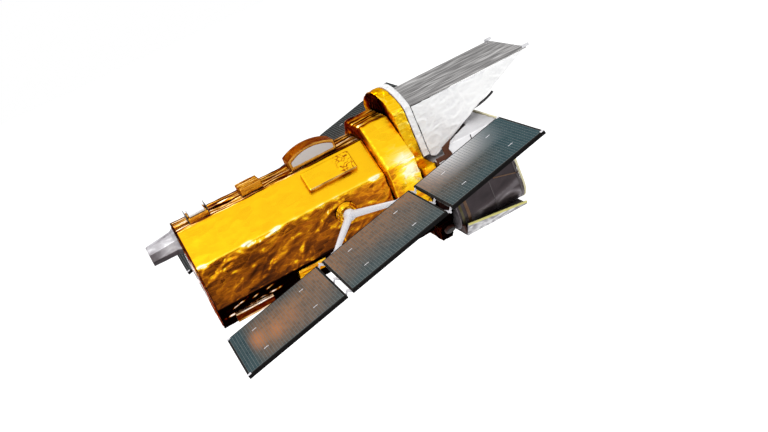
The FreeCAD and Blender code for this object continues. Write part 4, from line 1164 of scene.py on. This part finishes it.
def addBand(work, look):
    # a strip of tape down the hood's side and round its lower corner
    size = hoodSizes
    turnHeight = size["corner"] - size["low"]
    tall = look["top"] - turnHeight
    addBlock(work, (look["width"], bandThick, tall),
             (look["along"], -size["half"] - bandThick / 2, turnHeight + tall / 2))
    under = [face for face in work.faces if all(vert.co.z < turnHeight + mergeGap for vert in face.verts)]
    loop = [edge for face in under for edge in face.edges]
    bmesh.ops.delete(work, geom=under, context="FACES_ONLY")
    turned = bmesh.ops.spin(work, geom=loop, cent=(0, size["corner"] - size["half"], turnHeight),
                            axis=(1, 0, 0), dvec=(0, 0, 0), angle=math.radians(look["sweep"]), steps=8)
    last = [part for part in turned["geom_last"] if isinstance(part, bmesh.types.BMEdge)]
    bmesh.ops.contextual_create(work, geom=last)


def makeHoodBands():
    for name, look in hoodBands.items():
        work = bmesh.new()
        addBand(work, look)
        shipPiece(name, bothSides(work), look["finish"])
    look = sideStrap
    work = bmesh.new()
    addBlock(work, (look["length"], bandThick, look["width"]),
             (look["along"], -hoodSizes["half"] - bandThick / 2, look["height"]), look["soften"],
             turn=Matrix.Rotation(math.radians(look["lean"]), 3, "Y"))
    shipPiece("sideStrap", bothSides(work), "brownBand")


trayEdge = {"aft": (3.294, -0.705), "front": (4.138, -0.806), "side": 1.069, "width": 0.0215,
            "tall": 0.026, "proud": 0.0015, "soften": 0.002}
trayEnd = {"start": 3.236, "depth": 0.022, "top": -0.712, "from": 37, "gap": 0.002, "points": 8}


def makeTrayEdges():
    look = trayEdge
    (aftX, aftZ), (frontX, frontZ) = look["aft"], look["front"]
    lean = Matrix.Rotation(math.atan2(aftZ - frontZ, frontX - aftX), 3, "Y")
    work = bmesh.new()
    middle = ((aftX + frontX) / 2, -look["side"], (aftZ + frontZ) / 2 - look["tall"] / 2 + look["proud"])
    addBlock(work, (math.hypot(frontX - aftX, frontZ - aftZ), look["width"], look["tall"]), middle,
             look["soften"], turn=lean)
    shipPiece("trayEdges", bothSides(work), "yellowTrim")


def makeTrayEnds():
    # plates that fill the tray's aft corners, out from the hood's round lower corner
    size, look = hoodSizes, trayEnd
    outer, low = -size["half"] + look["gap"], -size["low"] + look["gap"]
    middleY, middleZ = size["corner"] - size["half"], size["corner"] - size["low"]
    rim = [(outer, look["top"]), (outer, low), (middleY, low)]
    for count in range(look["points"] + 1):
        way = math.radians(90 - (90 - look["from"]) * count / look["points"])
        out = size["corner"] + look["gap"]
        rim.append((middleY - out * math.cos(way), max(low, middleZ - out * math.sin(way))))
    work = bmesh.new()
    plate = work.faces.new([work.verts.new((look["start"], y, z)) for y, z in rim])
    made = bmesh.ops.extrude_face_region(work, geom=[plate])["geom"]
    bmesh.ops.translate(work, verts=onlyVerts(made), vec=(look["depth"], 0, 0))
    shipPiece("trayEnds", bothSides(work), "umberPlate")


discPlace = {"spot": (3.158, -0.672, -0.801), "out": (0.0, -0.745, -0.667), "sides": 40, "soften": 0.003}
deckDiscs = {
    "deckDisc": {"radius": 0.078, "low": -0.006, "high": 0.030, "slot": "brown_strut",
                 "finish": "umberPlate"},
    "deckDiscRim": {"radius": 0.06708, "low": 0.030, "high": 0.036, "slot": "dark_plate",
                    "finish": "darkCap"},
    "deckDiscGlass": {"radius": 0.058, "low": 0.034, "high": 0.040, "slot": "black_paint",
                      "finish": "darkCap"},
}


def makeDeckDiscs():
    turn = Vector((0, 0, 1)).rotation_difference(Vector(discPlace["out"]).normalized()).to_matrix().to_4x4()
    for name, look in deckDiscs.items():
        work = bmesh.new()
        addDrum(work, look["radius"], look["high"] - look["low"], (0, 0, (look["low"] + look["high"]) / 2),
                "Z", discPlace["sides"], discPlace["soften"])
        bmesh.ops.transform(work, matrix=Matrix.Translation(discPlace["spot"]) @ turn, verts=work.verts)
        shipPiece(name, bothSides(work), look["finish"])


makeHoodBands()
makeTrayEdges()
makeTrayEnds()
makeDeckDiscs()
print("satellite: hood and deck trimmed")


ringStuds = {"circle": 0.300, "screws": 6, "screwStart": 22.5, "screwAt": 0.009, "screwRadius": 0.009,
             "screwLength": 0.020, "screwSoften": 0.001}
aftSeams = {"width": 0.018, "thick": 0.0016, "reach": 0.690, "start": 0.352, "count": 8, "at": 0.0068,
            "soften": 0.0005}


def makeAftDetails():
    # studs in every fourth hole of the ring, and taped seams out to the corners of the bus
    work = bmesh.new()
    addScrews(work, (0, 0, 0), ringStuds["circle"], ringStuds)
    shipPiece("ringStuds", work, "darkPlate")
    look = aftSeams
    work = bmesh.new()
    for count in range(look["count"]):
        turn = Matrix.Rotation(math.tau * (count + 0.5) / look["count"], 3, "X")
        middle = Vector((look["at"], 0, 0)) + turn @ Vector((0, 0, (look["reach"] + look["start"]) / 2))
        addBlock(work, (look["thick"], look["width"], look["reach"] - look["start"]), middle,
                 look["soften"], turn=turn)
    shipPiece("aftSeams", work, "goldTape")


makeAftDetails()
print("satellite: aft end fitted")

cadFinishes = {
    "machinedMetal": ["interface_ring", "shade_tip_fittings"],
    "darkPlate": ["antenna_end_plates", "rod_antenna"],
    "greyPanel": ["arch_faces"],
    "creamTrim": ["hood_rim"],
    "brownStrut": ["hood_strut_right", "hood_strut_left"],
    "blackPaint": ["telescope_right", "telescope_left"],
}
wingFinishes = {
    "whitePaint": ["hub", "arm_aft", "arm_forward", "hinge_leaves_aft", "hinge_leaves_forward",
                   "hinge_lugs"],
    "panelBoard": ["panel_mid", "panel_aft", "panel_forward"],
}
for finish, labels in wingFinishes.items():
    cadFinishes.setdefault(finish, []).extend(f"{side}_{label}" for side in bothHands for label in labels)
for finish, nodeNames in cadFinishes.items():
    for nodeName in nodeNames:
        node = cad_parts[nodeName]
        if not node.material_slots:
            node.data.materials.append(None)
        for materialSlot in node.material_slots:
            materialSlot.material = finishes[finish]
print("satellite: frame painted")

stageLook = {"height": -4.4, "half": 60.0, "paper": (0.86, 0.86, 0.86, 1), "glow": 0.62}


def seenRays(tree):
    # 1 for rays that show the backdrop itself, 0 for those that only light the satellite
    rays = addNode(tree, "ShaderNodeLightPath").outputs
    mirrored = maths(tree, "MAXIMUM", rays["Is Glossy Ray"], rays["Is Transmission Ray"])
    return maths(tree, "MAXIMUM", rays["Is Camera Ray"], mirrored)


def makeStage():
    look = stageLook
    work = bmesh.new()
    bmesh.ops.create_grid(work, x_segments=1, y_segments=1, size=look["half"])
    bmesh.ops.translate(work, verts=work.verts, vec=(0, 0, look["height"]))
    floor = addObject("studioFloor", fromBmesh("studioFloor", work))
    material, tree, shader = newMaterial("palePaper", Roughness=0.9, Base_Color=look["paper"])
    strength = product(tree, seenRays(tree), look["glow"])
    glow = addNode(tree, "ShaderNodeEmission", {"Color": (1, 1, 1, 1), "Strength": strength})
    both = addNode(tree, "ShaderNodeAddShader", {0: shader.outputs[0], 1: glow.outputs[0]})
    tree.links.new(both.outputs[0], tree.nodes["Material Output"].inputs["Surface"])
    floor.data.materials.append(material)


lamps = {
    "keyLamp": {"spot": (-3.0, -8.0, 10.0), "aim": (2.2, 0.0, 0.0), "size": 5.0, "power": 520.0},
    "fillLamp": {"spot": (10.0, -7.0, 5.0), "aim": (2.6, 0.0, 0.0), "size": 6.0, "power": 260.0},
    "backLamp": {"spot": (1.0, 9.0, 8.0), "aim": (2.6, 0.0, 0.0), "size": 5.0, "power": 260.0},
}


def makeLamps():
    for name, lamp in lamps.items():
        data = bpy.data.lights.new(name, "AREA")
        data.shape = "DISK"
        data.size = lamp["size"]
        data.energy = lamp["power"]
        holder = addObject(name, data)
        way = Vector(lamp["aim"]) - Vector(lamp["spot"])
        holder.rotation_mode = "QUATERNION"
        holder.rotation_quaternion = way.to_track_quat("-Z", "Y")
        holder.location = lamp["spot"]


roomLight = {"always": 0.62, "seen": 0.38}


def makeWorld():
    world = bpy.data.worlds.new("paleStudio")
    world.use_nodes = True
    tree = world.node_tree
    strength = total(tree, product(tree, seenRays(tree), roomLight["seen"]), roomLight["always"])
    feed(tree, tree.nodes["Background"].inputs, {"Color": (1, 1, 1, 1), "Strength": strength})
    bpy.context.scene.world = world


makeStage()
makeLamps()
makeWorld()
bpy.context.scene.view_settings.view_transform = "Standard"
